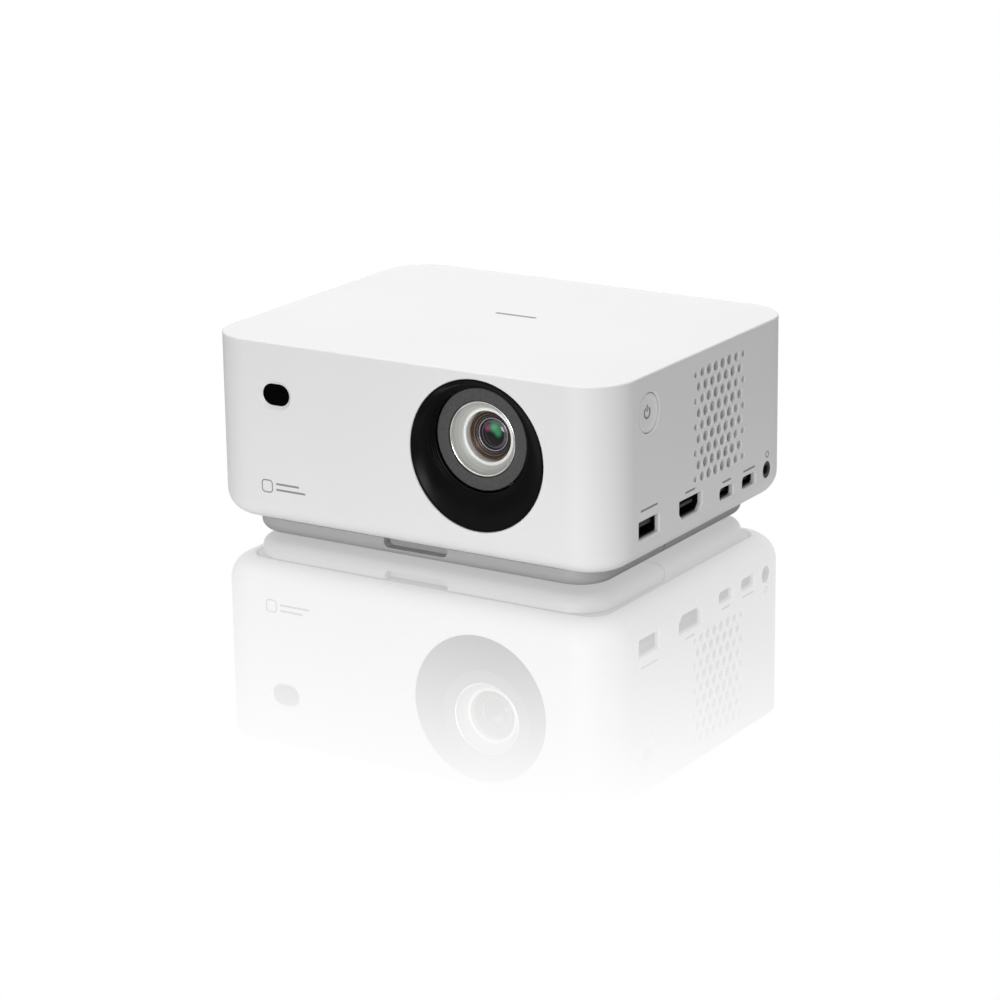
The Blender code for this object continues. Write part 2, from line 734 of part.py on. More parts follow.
def sensor_window():
    """White collar, dark window plate, and the focus camera behind it."""
    outer = stadium(WINDOW_X, WINDOW_Z, WINDOW_WIDTH + 4, WINDOW_HEIGHT + 4)
    collar = prism("window_collar", outer, "y", FRONT + WALL + GAP, FRONT + 6.5)
    inner = stadium(WINDOW_X, WINDOW_Z, WINDOW_WIDTH, WINDOW_HEIGHT)
    boolean(collar, prism("collar_hole", inner, "y", FRONT, FRONT + 9, CUTTERS))
    finish(collar, (0.86, 0.86, 0.86), 0.45)
    pane_outline = stadium(WINDOW_X, WINDOW_Z, WINDOW_WIDTH - 0.5, WINDOW_HEIGHT - 0.5)
    pane = prism("sensor_window", pane_outline, "y", FRONT + 3.6, FRONT + 4.8)
    finish(pane, (0.003, 0.003, 0.003), 0.08)
    board = box(
        "sensor_board", (WINDOW_X - 9, FRONT + 9.2, WINDOW_Z - 8), (WINDOW_X + 9, FRONT + 10.4, WINDOW_Z + 8)
    )
    finish(board, (0.02, 0.16, 0.07), 0.45)
    camera = turned(
        "focus_camera",
        ((0.0, 3.6), (3.4, 3.6), (3.4, 1.4), (2.4, 1.4), (2.4, 0.0), (0.0, 0.4)),
        (WINDOW_X, FRONT + 5.3, WINDOW_Z),
        "y",
        20,
        closed=False,
    )
    finish(camera, (0.02, 0.02, 0.02), 0.3)


# Optical engine and cooling


ENGINE_LOW = (8.0, FRONT + 32.3, 30.0)
ENGINE_HIGH = (53.0, 10.0, 68.0)


def optical_engine():
    """Cast box behind the lens, holding the prism and mirror, with the imaging chip at its back."""
    case = box("engine_housing", ENGINE_LOW, ENGINE_HIGH)
    low = [a + 2.0 for a in ENGINE_LOW]
    high = [b - 2.0 for b in ENGINE_HIGH[:2]] + [ENGINE_HIGH[2] + 3.0]
    cuts = bmesh.new()
    add_box(cuts, low, high)
    boolean(case, keep("engine_cavity", cuts, CUTTERS))
    windows = bmesh.new()
    add_cylinder(windows, (LENS_X, ENGINE_LOW[1], LENS_Z), 9.5, 7.0, "y", 24)
    add_cylinder(windows, (ENGINE_LOW[0], -14.0, LENS_Z), 6.0, 7.0, "x", 20)
    add_box(windows, (LENS_X - 8, 6.0, LENS_Z - 6), (LENS_X + 8, 13.0, LENS_Z + 6))
    boolean(case, keep("engine_windows", windows, CUTTERS))
    finish(case, (0.09, 0.09, 0.1), 0.55, 0.6)
    lid = box("engine_lid", (ENGINE_LOW[0], ENGINE_LOW[1], 68.3), (ENGINE_HIGH[0], 10.0, 69.8))
    finish(lid, (0.5, 0.5, 0.5), 0.4, 1.0)
    x, y = LENS_X, -6.0
    glass = prism(
        "light_prism", ((x - 9, y - 9), (x + 9, y - 9), (x + 9, y + 9), (x - 4, y + 9)), "z", 32.3, 60.0
    )
    finish(glass, (0.8, 0.9, 0.9), 0.02, smooth=False)
    mirror = box("fold_mirror", (-8.0, -0.75, -9.0), (8.0, 0.75, 9.0))
    mirror.matrix_world = Matrix.Translation(Vector((20.0, -23.0, 45.0)) * MM) @ Matrix.Rotation(
        math.radians(45), 4, "Z"
    )
    finish(mirror, (0.9, 0.9, 0.9), 0.02, 1.0)
    chip = box("imaging_chip", (LENS_X - 7, 8.2, LENS_Z - 5), (LENS_X + 7, 10.0, LENS_Z + 5))
    finish(chip, (0.15, 0.13, 0.2), 0.1, 0.5)
    board = box("imaging_board", (10.5, 10.3, 30.0), (50.5, 11.9, 68.0))
    finish(board, (0.02, 0.16, 0.07), 0.45)


def comb(start_u, base, height, fins, pitch, thickness, plate):
    """Outline of a finned block: fins stand up from a plate of the given thickness."""
    points = [(start_u, base)]
    width = (fins - 1) * pitch + thickness
    points.append((start_u + width, base))
    for k in reversed(range(fins)):
        left = start_u + k * pitch
        points += [(left + thickness, base + height), (left, base + height)]
        if k:
            points += [(left, base + plate), (left - pitch + thickness, base + plate)]
    return points


def cooling():
    chip_sink = prism(
        "chip_heat_sink",
        [(u, v) for u, v in comb(14.0, 12.2, 12.0, 8, 4.7, 1.2, 3.0)],
        "z",
        34.0,
        64.0,
    )
    finish(chip_sink, (0.55, 0.55, 0.56), 0.4, 1.0, smooth=False)
    main_sink = prism("laser_heat_sink", comb(-20.0, 20.0, 46.0, 12, 4.4, 1.1, 3.0), "x", -76.0, -45.0)
    finish(main_sink, (0.6, 0.6, 0.61), 0.4, 1.0, smooth=False)
    module = box("laser_module", (-18.0, -26.0, 37.0), (7.7, -2.0, 62.0), 0.8, 1)
    finish(module, (0.5, 0.36, 0.2), 0.35, 1.0)
    board = box("laser_board", (-20.0, -27.0, 36.0), (-18.3, -1.0, 63.0))
    finish(board, (0.02, 0.16, 0.07), 0.45)
    for y, place in ((-16.0, "front"), (-8.0, "rear")):
        heat_pipe(f"heat_pipe_{place}", y)


def heat_pipe(name, y):
    """A bent copper pipe from under the laser module down to the sink's plate."""
    radius = 2.5
    high, low = 36.7 - radius - GAP, 20.0 - radius - GAP
    points = [(-2.0, high), (-14.0, high)]
    for k in range(1, 6):
        turn = (1 - math.cos(math.pi * k / 6)) / 2
        points.append((-18.0 - 16.0 * k / 6, high + (low - high) * turn))
    points += [(-38.0, low), (-74.0, low)]
    curve = bpy.data.curves.new(name, "CURVE")
    curve.dimensions = "3D"
    curve.bevel_depth = radius * MM
    curve.bevel_resolution = 2
    curve.use_fill_caps = True
    line = curve.splines.new("POLY")
    line.points.add(len(points) - 1)
    for point, (x, z) in zip(line.points, points):
        point.co = (x * MM, y * MM, z * MM, 1.0)
    pipe = bpy.data.objects.new(name, curve)
    PARTS.objects.link(pipe)
    look = bpy.data.materials.new(name)
    look.use_nodes = True
    shader = look.node_tree.nodes["Principled BSDF"]
    shader.inputs["Base Color"].default_value = (0.72, 0.4, 0.25, 1.0)
    shader.inputs["Metallic"].default_value = 1.0
    shader.inputs["Roughness"].default_value = 0.35
    curve.materials.append(look)


def fan():
    """Axial fan behind the side vents: a square frame with struts, and a bladed rotor on its hub."""
    x0, x1 = FAN_X
    frame = box(
        "fan_frame", (x0, FAN_Y - FAN_HALF, FAN_Z - FAN_HALF), (x1, FAN_Y + FAN_HALF, FAN_Z + FAN_HALF)
    )
    middle = ((x0 + x1) / 2, FAN_Y, FAN_Z)
    boolean(frame, cylinder("fan_duct", middle, 19.4, 20.0, "x", 32, CUTTERS))
    struts = bmesh.new()
    for k in range(3):
        made = add_box(struts, (x0, -1.2, 7.0), (x0 + 1.6, 1.2, 20.2))
        turn = Matrix.Translation((0.0, FAN_Y, FAN_Z)) @ Matrix.Rotation(math.radians(30 + 120 * k), 4, "X")
        bmesh.ops.transform(struts, matrix=turn, verts=made)
    boolean(frame, keep("fan_struts", struts, CUTTERS), "UNION")
    seat = cylinder("fan_seat", (x0 + 0.8, FAN_Y, FAN_Z), 8.0, 1.6, "x", 20, CUTTERS)
    boolean(frame, seat, "UNION")
    finish(frame, (0.03, 0.03, 0.03), 0.5)

    hub = turned(
        "fan_rotor",
        ((0.0, 9.6), (7.6, 9.6), (8.4, 8.8), (8.4, 2.2), (0.0, 2.2)),
        (x0, FAN_Y, FAN_Z),
        "x",
        24,
        closed=False,
    )
    blades = bmesh.new()
    for k in range(FAN_BLADES):
        made = add_box(blades, (-3.6, -0.45, 7.0), (3.6, 0.45, 18.4))
        pitch = Matrix.Rotation(math.radians(38), 4, "Z")
        place = Matrix.Translation((x0 + 5.9, FAN_Y, FAN_Z))
        around = Matrix.Rotation(2 * math.pi * k / FAN_BLADES, 4, "X")
        bmesh.ops.transform(blades, matrix=place @ around @ pitch, verts=made)
    boolean(hub, keep("fan_blades", blades, CUTTERS), "UNION")
    finish(hub, (0.04, 0.04, 0.045), 0.45)


# Boards, bracket and speaker


def electronics():
    board = box("main_board", (34.0, -54.0, BOARD_TOP - 1.6), (76.0, 56.0, BOARD_TOP))
    clear = bmesh.new()
    for x, y in SCREWS[2:]:
        add_cylinder(clear, (x, y, BOARD_TOP), 3.9, 6.0, segments=16)
    boolean(board, keep("board_holes", clear, CUTTERS))
    finish(board, (0.02, 0.16, 0.07), 0.45)
    chip = box("processor", (44.0, -12.0, BOARD_TOP + GAP), (60.0, 4.0, BOARD_TOP + 1.9))
    finish(chip, (0.03, 0.03, 0.03), 0.4)
    cover = box("processor_heat_sink", (43.0, -13.0, BOARD_TOP + 2.2), (61.0, 5.0, 24.0), 0.5, 1)
    finish(cover, (0.6, 0.6, 0.61), 0.4, 1.0)
    bracket = prism(
        "engine_bracket",
        (
            (4.0, 10.3),
            (5.6, 10.3),
            (5.6, 27.9),
            (29.4, 27.9),
            (29.4, 10.3),
            (31.0, 10.3),
            (31.0, 29.5),
            (4.0, 29.5),
        ),
        "y",
        ENGINE_LOW[1],
        10.0,
    )
    finish(bracket, (0.62, 0.62, 0.63), 0.35, 1.0, smooth=False)


def speaker():
    enclosure = box("speaker_box", (-36.0, 36.0, 20.0), (6.0, 58.0, 62.0), 2.0, 2)
    mouth = cylinder("speaker_mouth", (-15.0, 58.0, 41.0), 15.6, 16.0, "y", 28, CUTTERS)
    boolean(enclosure, mouth)
    finish(enclosure, (0.03, 0.03, 0.03), 0.5)
    cone = turned(
        "speaker_cone",
        (
            (0.0, 8.2),
            (5.0, 9.0),
            (6.0, 8.0),
            (12.5, 11.0),
            (15.2, 11.0),
            (15.2, 9.0),
            (12.5, 9.0),
            (6.0, 6.0),
            (6.0, 2.0),
            (0.0, 2.0),
        ),
        (-15.0, 49.0, 41.0),
        "y",
        28,
        closed=False,
    )
    finish(cone, (0.04, 0.04, 0.04), 0.7)


start()
upper_casing()
base_tray()
kickstand()
feet()
base_fasteners()
lens_bezel()
lens_parts()
focus_drive()
power_button()
sockets()
sensor_window()
optical_engine()
cooling()
fan()
electronics()
speaker()
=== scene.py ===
import math

import bmesh
import bpy
from mathutils import Matrix, Vector


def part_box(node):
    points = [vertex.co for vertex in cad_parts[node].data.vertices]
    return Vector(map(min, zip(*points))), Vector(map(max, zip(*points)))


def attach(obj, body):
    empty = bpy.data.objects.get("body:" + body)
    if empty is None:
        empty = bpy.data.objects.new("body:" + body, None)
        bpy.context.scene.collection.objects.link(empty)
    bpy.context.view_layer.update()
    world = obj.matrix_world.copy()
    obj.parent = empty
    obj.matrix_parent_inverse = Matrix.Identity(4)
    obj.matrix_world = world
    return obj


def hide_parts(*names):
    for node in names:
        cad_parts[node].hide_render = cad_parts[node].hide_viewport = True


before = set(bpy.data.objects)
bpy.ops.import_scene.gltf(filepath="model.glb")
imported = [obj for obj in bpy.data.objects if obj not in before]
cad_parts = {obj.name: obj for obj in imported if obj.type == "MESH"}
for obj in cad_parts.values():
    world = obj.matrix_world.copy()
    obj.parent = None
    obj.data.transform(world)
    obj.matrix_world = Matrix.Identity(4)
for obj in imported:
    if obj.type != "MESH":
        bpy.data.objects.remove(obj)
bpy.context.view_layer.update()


# Camera. A long lens on a product-table tripod, a metre and a fifth away and looking down a little,
# so that the upright edges stay parallel.
def mm(*values):
    """Millimetres to metres: a number for one value, a vector for several."""
    if len(values) == 1:
        return values[0] / 1000
    return Vector(values) / 1000


camera_data = bpy.data.cameras.new("product_camera")
camera_data.lens = 119.82
camera_data.sensor_width = 36.0
camera_data.clip_start = 0.05
camera = bpy.data.objects.new("product_camera", camera_data)
bpy.context.scene.collection.objects.link(camera)
round_the_table = math.radians(32.324)
looking_down = math.radians(16.704)
tilt = math.radians(-0.782)
away = Vector(
    (
        math.sin(round_the_table) * math.cos(looking_down),
        -math.cos(round_the_table) * math.cos(looking_down),
        math.sin(looking_down),
    )
)
level = Vector((math.cos(round_the_table), math.sin(round_the_table), 0.0))
upward = away.cross(level)
camera_right = math.cos(tilt) * level + math.sin(tilt) * upward
camera_up = -math.sin(tilt) * level + math.cos(tilt) * upward
camera.matrix_world = Matrix.Translation(mm(609.364, -965.849, 350.758)) @ Matrix(
    (camera_right, camera_up, away)
).transposed().to_4x4()
bpy.context.scene.camera = camera
bpy.context.scene.view_settings.view_transform = "Standard"


# Studio. A sheet of white acrylic under the projector mirrors it softly, less and less away from it. A white
# wall stands behind, and the softboxes hang overhead, at the front right and low in front.
def linear(hex_colour):
    """An sRGB hex colour as the linear red, green, blue and alpha that the shaders use."""
    parts = [int(hex_colour[k : k + 2], 16) / 255 for k in (1, 3, 5)]
    parts = [c / 12.92 if c <= 0.04045 else ((c + 0.055) / 1.055) ** 2.4 for c in parts]
    return (*parts, 1.0)


def add(tree, kind, settings=None, links=None):
    """Adds one node to a material: sets its options and inputs by name, and links inputs from sockets."""
    made = tree.nodes.new(kind)
    for name, value in (settings or {}).items():
        if isinstance(name, str) and hasattr(made, name):
            setattr(made, name, value)
        else:
            made.inputs[name].default_value = value
    for name, source in (links or {}).items():
        tree.links.new(source, made.inputs[name])
    return made


def new_material(name):
    """A new material, its empty node tree, and the socket that gives a point's place on the piece."""
    made = bpy.data.materials.new(name)
    made.use_nodes = True
    made.node_tree.nodes.clear()
    return made, made.node_tree, add(made.node_tree, "ShaderNodeTexCoord").outputs["Object"]


studio = bpy.data.worlds.new("white_studio")
studio.use_nodes = True
studio.node_tree.nodes.clear()
bpy.context.scene.world = studio
tree = studio.node_tree
heading = add(tree, "ShaderNodeTexCoord")
split = add(tree, "ShaderNodeSeparateXYZ", links={0: heading.outputs["Generated"]})
wall = add(
    tree,
    "ShaderNodeMapRange",
    {"interpolation_type": "SMOOTHSTEP", "From Min": -0.15, "From Max": 0.3, "To Min": 0.0, "To Max": 0.52},
    {"Value": split.outputs["Y"]},
)
overhead = add(
    tree,
    "ShaderNodeMapRange",
    {"interpolation_type": "SMOOTHSTEP", "From Min": 0.45, "From Max": 0.8, "To Min": 1.0, "To Max": 0.75},
    {"Value": split.outputs["Z"]},
)
both = add(
    tree, "ShaderNodeMath", {"operation": "MULTIPLY"}, {0: wall.outputs["Result"], 1: overhead.outputs["Result"]}
)
seen = add(tree, "ShaderNodeLightPath")
mirrored = add(
    tree, "ShaderNodeMath", {"operation": "MAXIMUM"}, {0: both.outputs[0], 1: seen.outputs["Is Glossy Ray"]}
)
strength = add(
    tree, "ShaderNodeMath", {"operation": "MAXIMUM"}, {0: mirrored.outputs[0], 1: seen.outputs["Is Camera Ray"]}
)
backdrop = add(tree, "ShaderNodeBackground", {"Color": (1, 1, 1, 1)}, {"Strength": strength.outputs[0]})
add(tree, "ShaderNodeOutputWorld", links={"Surface": backdrop.outputs[0]})

for name, place, aim, size, power in (
    ("overhead_softbox", (-100, 100, 900), (0, 0, 40), 900, 7.2),
    ("front_softbox", (420, -1080, 360), (0, 0, 40), 700, 4.4),
    ("low_softbox", (60, -1150, 130), (0, 0, 40), 300, 3.7),
):
    lamp_data = bpy.data.lights.new(name, "AREA")
    lamp_data.size = mm(size)
    lamp_data.energy = power
    lamp = bpy.data.objects.new(name, lamp_data)
    lamp.location = mm(*place)
    lamp.rotation_euler = (mm(*place) - mm(*aim)).to_track_quat("Z", "Y").to_euler()
    bpy.context.scene.collection.objects.link(lamp)

bpy.ops.object.select_all(action="DESELECT")
bpy.ops.mesh.primitive_plane_add(size=12.0)
floor = bpy.context.object
floor.name = "floor"
acrylic, tree, place = new_material("white_acrylic_sheet")
size = add(tree, "ShaderNodeVectorMath", {"operation": "ABSOLUTE"}, {0: place})
past = add(
    tree, "ShaderNodeVectorMath", {"operation": "SUBTRACT", 1: (0.070, 0.054, 0.0)}, {0: size.outputs[0]}
)
outside = add(tree, "ShaderNodeVectorMath", {"operation": "MAXIMUM", 1: (0.0, 0.0, 0.0)}, {0: past.outputs[0]})
reach = add(tree, "ShaderNodeVectorMath", {"operation": "LENGTH"}, {0: outside.outputs[0]})
mirror_share = add(
    tree,
    "ShaderNodeMapRange",
    {"interpolation_type": "LINEAR", "From Min": 0.0, "From Max": 0.19, "To Min": 0.55, "To Max": 0.0},
    {"Value": reach.outputs["Value"]},
)
# What the sheet sends up: less from the projector's own shadow, more from its right, where the light falls.
shadow = add(
    tree,
    "ShaderNodeMapRange",
    {"interpolation_type": "SMOOTHSTEP", "From Min": 0.0, "From Max": 0.04, "To Min": 0.26, "To Max": 0.43},
    {"Value": reach.outputs["Value"]},
)
across = add(tree, "ShaderNodeSeparateXYZ", links={0: place})
to_right = add(
    tree,
    "ShaderNodeMapRange",
    {"interpolation_type": "SMOOTHSTEP", "From Min": 0.05, "From Max": 0.16, "To Min": 1.0, "To Max": 1.12},
    {"Value": across.outputs["X"]},
)
sent_up = add(
    tree, "ShaderNodeMath", {"operation": "MULTIPLY"}, {0: shadow.outputs["Result"], 1: to_right.outputs["Result"]}
)
bounce = add(tree, "ShaderNodeLightPath")
glow = add(
    tree, "ShaderNodeMath", {"operation": "MAXIMUM"}, {0: sent_up.outputs[0], 1: bounce.outputs["Is Camera Ray"]}
)
white = add(tree, "ShaderNodeEmission", {"Color": (1, 1, 1, 1)}, {"Strength": glow.outputs[0]})
mirror = add(tree, "ShaderNodeBsdfGlossy", {"Color": (1, 1, 1, 1), "Roughness": 0.02})
surface = add(
    tree,
    "ShaderNodeMixShader",
    links={0: mirror_share.outputs["Result"], 1: white.outputs[0], 2: mirror.outputs[0]},
)
add(tree, "ShaderNodeOutputMaterial", links={"Surface": surface.outputs[0]})
floor.data.materials.append(acrylic)


# Casing. One injection-moulded ABS shell: top, four walls and the tucked-under lower edge, spark-eroded to
# a fine satin grain. The vents, socket windows and lens hole are moulded in; screws from below hold it.
case_low, case_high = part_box("upper_casing")
PRINT = mm(0.03)
HALF_WIDTH = case_high[0] - PRINT
FRONT = case_low[1]
SIDE = case_high[0]
CASE_TOP = case_high[2] - PRINT
CASE_FOOT = case_low[2]
CASE_CORNER = mm(17.0)
CASE_TUCK = mm(9.0)
WALL = mm(2.0)
LENS_MOUTH = Vector((mm(30.5), FRONT, mm(49.9)))
BEZEL = LENS_MOUTH + mm(0, 0, -4.9)
BUTTON = Vector((SIDE, mm(-39.0), mm(60.5)))
BUTTON_OVAL = (1.0, 0.93, 0.98)
JACK = Vector((SIDE, mm(45.5), mm(19.6)))
SENSOR_X, SENSOR_Z = -51.9, 55.3
# Each socket's middle along Y and Z, in millimetres.
USB_A, HDMI, USB_C, USB_C_POWER = (-39.0, 20.8), (-10.2, 20.7), (15.5, 18.95), (32.0, 18.95)


def select_only(piece=None):
    """Leaves edit mode, and selects one piece or none."""
    if bpy.context.mode != "OBJECT":
        bpy.ops.object.mode_set(mode="OBJECT")
    bpy.ops.object.select_all(action="DESELECT")
    if piece:
        piece.select_set(True)
        bpy.context.view_layer.objects.active = piece


def pick(kind, test):
    """In edit mode, selects only the vertices, edges or faces that pass a test."""
    bpy.ops.mesh.select_mode(type={"verts": "VERT", "edges": "EDGE", "faces": "FACE"}[kind])
    bpy.ops.mesh.select_all(action="DESELECT")
    shape = bmesh.from_edit_mesh(bpy.context.edit_object.data)
    for item in getattr(shape, kind):
        if test(item):
            item.select_set(True)
    bmesh.update_edit_mesh(bpy.context.edit_object.data)


def block(name, low, high):
    """A box between two corners, left in edit mode, to be shaped further."""
    select_only()
    low, high = Vector(low), Vector(high)
    bpy.ops.mesh.primitive_cube_add(size=1.0, location=(low + high) / 2, scale=high - low)
    bpy.ops.object.transform_apply(location=True, rotation=True, scale=True)
    piece = bpy.context.object
    piece.name = name
    piece.data.name = name
    bpy.ops.object.mode_set(mode="EDIT")
    return piece


def along(edge, axis):
    """Whether an edge runs along one axis only."""
    run = edge.verts[1].co - edge.verts[0].co
    return abs(run[axis]) > mm(0.02) and sum(abs(run[k]) for k in range(3) if k != axis) < mm(0.001)


def at(item, axis, value):
    """Whether every corner of an edge or face lies at one value of an axis."""
    return all(abs(v.co[axis] - value) < mm(0.005) for v in item.verts)


def round_edges(test, radius, steps):
    """Rounds the edges that pass a test."""
    pick("edges", test)
    bpy.ops.mesh.bevel(offset=radius, segments=steps, profile=0.5, affect="EDGES", clamp_overlap=True)


def apply_modifier(piece, kind, **settings):
    """Adds a modifier with its settings and applies it."""
    select_only(piece)
    modifier = piece.modifiers.new(kind.lower(), kind)
    for name, value in settings.items():
        setattr(modifier, name, value)
    bpy.ops.object.modifier_apply(modifier=modifier.name)


def carve(piece, tool, operation="DIFFERENCE"):
    """Cuts a piece with a tool, or joins them, and throws the tool away."""
    apply_modifier(piece, "BOOLEAN", operation=operation, solver="EXACT", object=tool)
    bpy.data.objects.remove(tool, do_unlink=True)


def smooth(piece, angle=30):
    """Shades a finished piece smooth, with crisp edges and truly flat flats."""
    select_only(piece)
    bpy.ops.object.shade_smooth_by_angle(angle=math.radians(angle))
    apply_modifier(piece, "WEIGHTED_NORMAL", mode="FACE_AREA", weight=80, keep_sharp=True)


def turned(name, centre, axis, rings, sides=96):
    """A turned piece: rings of (radius, depth, rise) in millimetres along an axis from a centre, joined in turn.

    Depth counts inward, against the side the piece is seen from, and rise moves a ring's centre up.
    A first or last radius of 0 closes that end, and a last ring equal to the first makes a closed band.
    """
    select_only()
    inward, spin, flat = {
        "Y": (Vector((0, 1, 0)), (math.radians(90), 0, 0), 1),
        "X": (Vector((-1, 0, 0)), (0, math.radians(90), 0), 0),
        "Z": (Vector((0, 0, -1)), (0, 0, 0), 2),
    }[axis]
    rings = [[mm(size) for size in (*ring, 0.0)[:3]] for ring in rings]
    middles = [centre + inward * depth + Vector((0, 0, rise)) for radius, depth, rise in rings]
    least = mm(0.02)
    last = max(rings[0][0], least)
    bpy.ops.mesh.primitive_circle_add(vertices=sides, radius=last, location=middles[0], rotation=spin)
    bpy.ops.object.transform_apply(location=True, rotation=True, scale=True)
    piece = bpy.context.object
    piece.name = name
    piece.data.name = name
    bpy.ops.object.mode_set(mode="EDIT")
    bpy.ops.mesh.select_all(action="SELECT")
    for k in range(1, len(rings)):
        radius = max(rings[k][0], least)
        bpy.ops.mesh.extrude_region_move(TRANSFORM_OT_translate={"value": middles[k] - middles[k - 1]})
        grow = [radius / last] * 3
        grow[flat] = 1.0
        if abs(radius - last) > mm(0.0001):
            bpy.ops.transform.resize(value=grow, center_override=middles[k])
        last = radius
    for ring, middle in ((rings[0], middles[0]), (rings[-1], middles[-1])):
        if ring[0] == 0:
            pick("edges", lambda e, m=middle: len(e.link_faces) == 1 and (e.verts[0].co - m).length < mm(0.03))
            bpy.ops.mesh.edge_face_add()
    bpy.ops.mesh.select_all(action="SELECT")
    bpy.ops.mesh.remove_doubles(threshold=mm(0.003))
    bpy.ops.mesh.normals_make_consistent(inside=False)
    bpy.ops.object.mode_set(mode="OBJECT")
    return piece


def duplicate(piece):
    """A second copy of a piece, with its own mesh."""
    made = piece.copy()
    made.data = piece.data.copy()
    bpy.context.scene.collection.objects.link(made)
    return made


def join_all(pieces):
    """Joins pieces into one, with its places, turns and scales applied."""
    bpy.ops.object.select_all(action="DESELECT")
    for piece in pieces:
        piece.select_set(True)
    bpy.context.view_layer.objects.active = pieces[0]
    bpy.ops.object.join()
    bpy.ops.object.transform_apply(location=True, rotation=True, scale=True)
    return bpy.context.object


casing = block("casing_shell", (-HALF_WIDTH, FRONT + PRINT, CASE_FOOT), (HALF_WIDTH, -FRONT - PRINT, CASE_TOP))
round_edges(lambda e: along(e, 2), CASE_CORNER, 20)
round_edges(lambda e: at(e, 2, CASE_FOOT), CASE_TUCK, 14)
pick("faces", lambda f: at(f, 2, CASE_FOOT))
bpy.ops.mesh.delete(type="FACE")
apply_modifier(casing, "SOLIDIFY", thickness=WALL, offset=-1.0, use_even_offset=True)
bpy.ops.object.mode_set(mode="EDIT")
round_edges(lambda e: at(e, 2, CASE_TOP), mm(0.7), 4)
round_edges(lambda e: at(e, 2, CASE_FOOT), mm(0.25), 2)

lens_hole = turned(
    "lens_hole",
    BEZEL,
    "Y",
    ((0, -2), (26.75, -2), (26.75, 0), (26.45, 0.3), (26.45, 5), (0, 5)),
)
carve(casing, lens_hole)
button_hole = turned(
    "button_hole",
    BUTTON,
    "X",
    ((0, -2), (7.75, -2), (7.75, 0), (7.2, 0.4), (7.2, 5), (0, 5)),
    64,
)
bpy.ops.object.mode_set(mode="EDIT")
bpy.ops.mesh.select_all(action="SELECT")
bpy.ops.transform.resize(value=BUTTON_OVAL, center_override=BUTTON)
carve(casing, button_hole)
jack_hole = turned(
    "jack_hole",
    JACK,
    "X",
    ((0, -2), (3.3, -2), (3.3, 0), (3.1, 0.25), (3.1, 5), (0, 5)),
    40,
)
carve(casing, jack_hole)

# Socket windows: straight-walled rectangles with rounded corners and a rounded outer rim, moulded through
# the wall of the side; each is a little larger than the connector behind it, and takes its shape.
for name, y, z, width, height, corner in (
    ("usb_a_window", *USB_A, 13.8, 6.4, 0.6),
    ("hdmi_window", *HDMI, 16.0, 6.6, 1.2),
    ("usb_c_window", *USB_C, 10.0, 4.3, 1.5),
    ("usb_c_power_window", *USB_C_POWER, 10.0, 4.3, 1.5),
):
    opening = block(
        name,
        (SIDE - mm(5), mm(y - width / 2), mm(z - height / 2)),
        (SIDE, mm(y + width / 2), mm(z + height / 2)),
    )
    if name == "hdmi_window":
        round_edges(lambda e: along(e, 0) and at(e, 2, mm(z - height / 2)), mm(2.3), 1)
        round_edges(lambda e: along(e, 0), mm(0.5), 3)
    else:
        round_edges(lambda e: along(e, 0), mm(corner), 5)
    pick("faces", lambda f: at(f, 0, SIDE))
    bpy.ops.transform.translate(value=(mm(-0.5), 0, 0))
    for out, grow in ((0.3, 0.35), (0.2, 0.45)):
        bpy.ops.mesh.extrude_region_move(TRANSFORM_OT_translate={"value": (mm(out), 0, 0)})
        bpy.ops.transform.resize(
            value=(1, (width + grow) / width, (height + grow) / height), center_override=(SIDE, mm(y), mm(z))
        )
        width, height = width + grow, height + grow
    bpy.ops.mesh.extrude_region_move(TRANSFORM_OT_translate={"value": (mm(2), 0, 0)})
    carve(casing, opening)

# Sensor recess: a stadium that narrows inward, and a pocket behind it that the dark pane drops into.
sensor_recess = block(
    "sensor_recess",
    (mm(SENSOR_X - 7.0), FRONT, mm(SENSOR_Z - 5.2)),
    (mm(SENSOR_X + 7.0), FRONT + mm(3), mm(SENSOR_Z + 5.2)),
)
round_edges(lambda e: along(e, 1), mm(5.15), 12)
pick("faces", lambda f: at(f, 1, FRONT + mm(3)))
bpy.ops.transform.translate(value=(0, mm(-1.9), 0))
bpy.ops.transform.resize(value=(11.2 / 14.0, 1, 7.8 / 10.4), center_override=mm(SENSOR_X, 0, SENSOR_Z))
bpy.ops.mesh.extrude_region_move(TRANSFORM_OT_translate={"value": (0, mm(4), 0)})
pick("faces", lambda f: at(f, 1, FRONT))
bpy.ops.mesh.extrude_region_move(TRANSFORM_OT_translate={"value": (0, mm(-2), 0)})
carve(casing, sensor_recess)
pane_pocket = block(
    "pane_pocket", mm(SENSOR_X - 6.5, -64.75, SENSOR_Z - 4.8), mm(SENSOR_X + 6.5, -60.0, SENSOR_Z + 4.8)
)
round_edges(lambda e: along(e, 1), mm(4.75), 10)
carve(casing, pane_pocket)

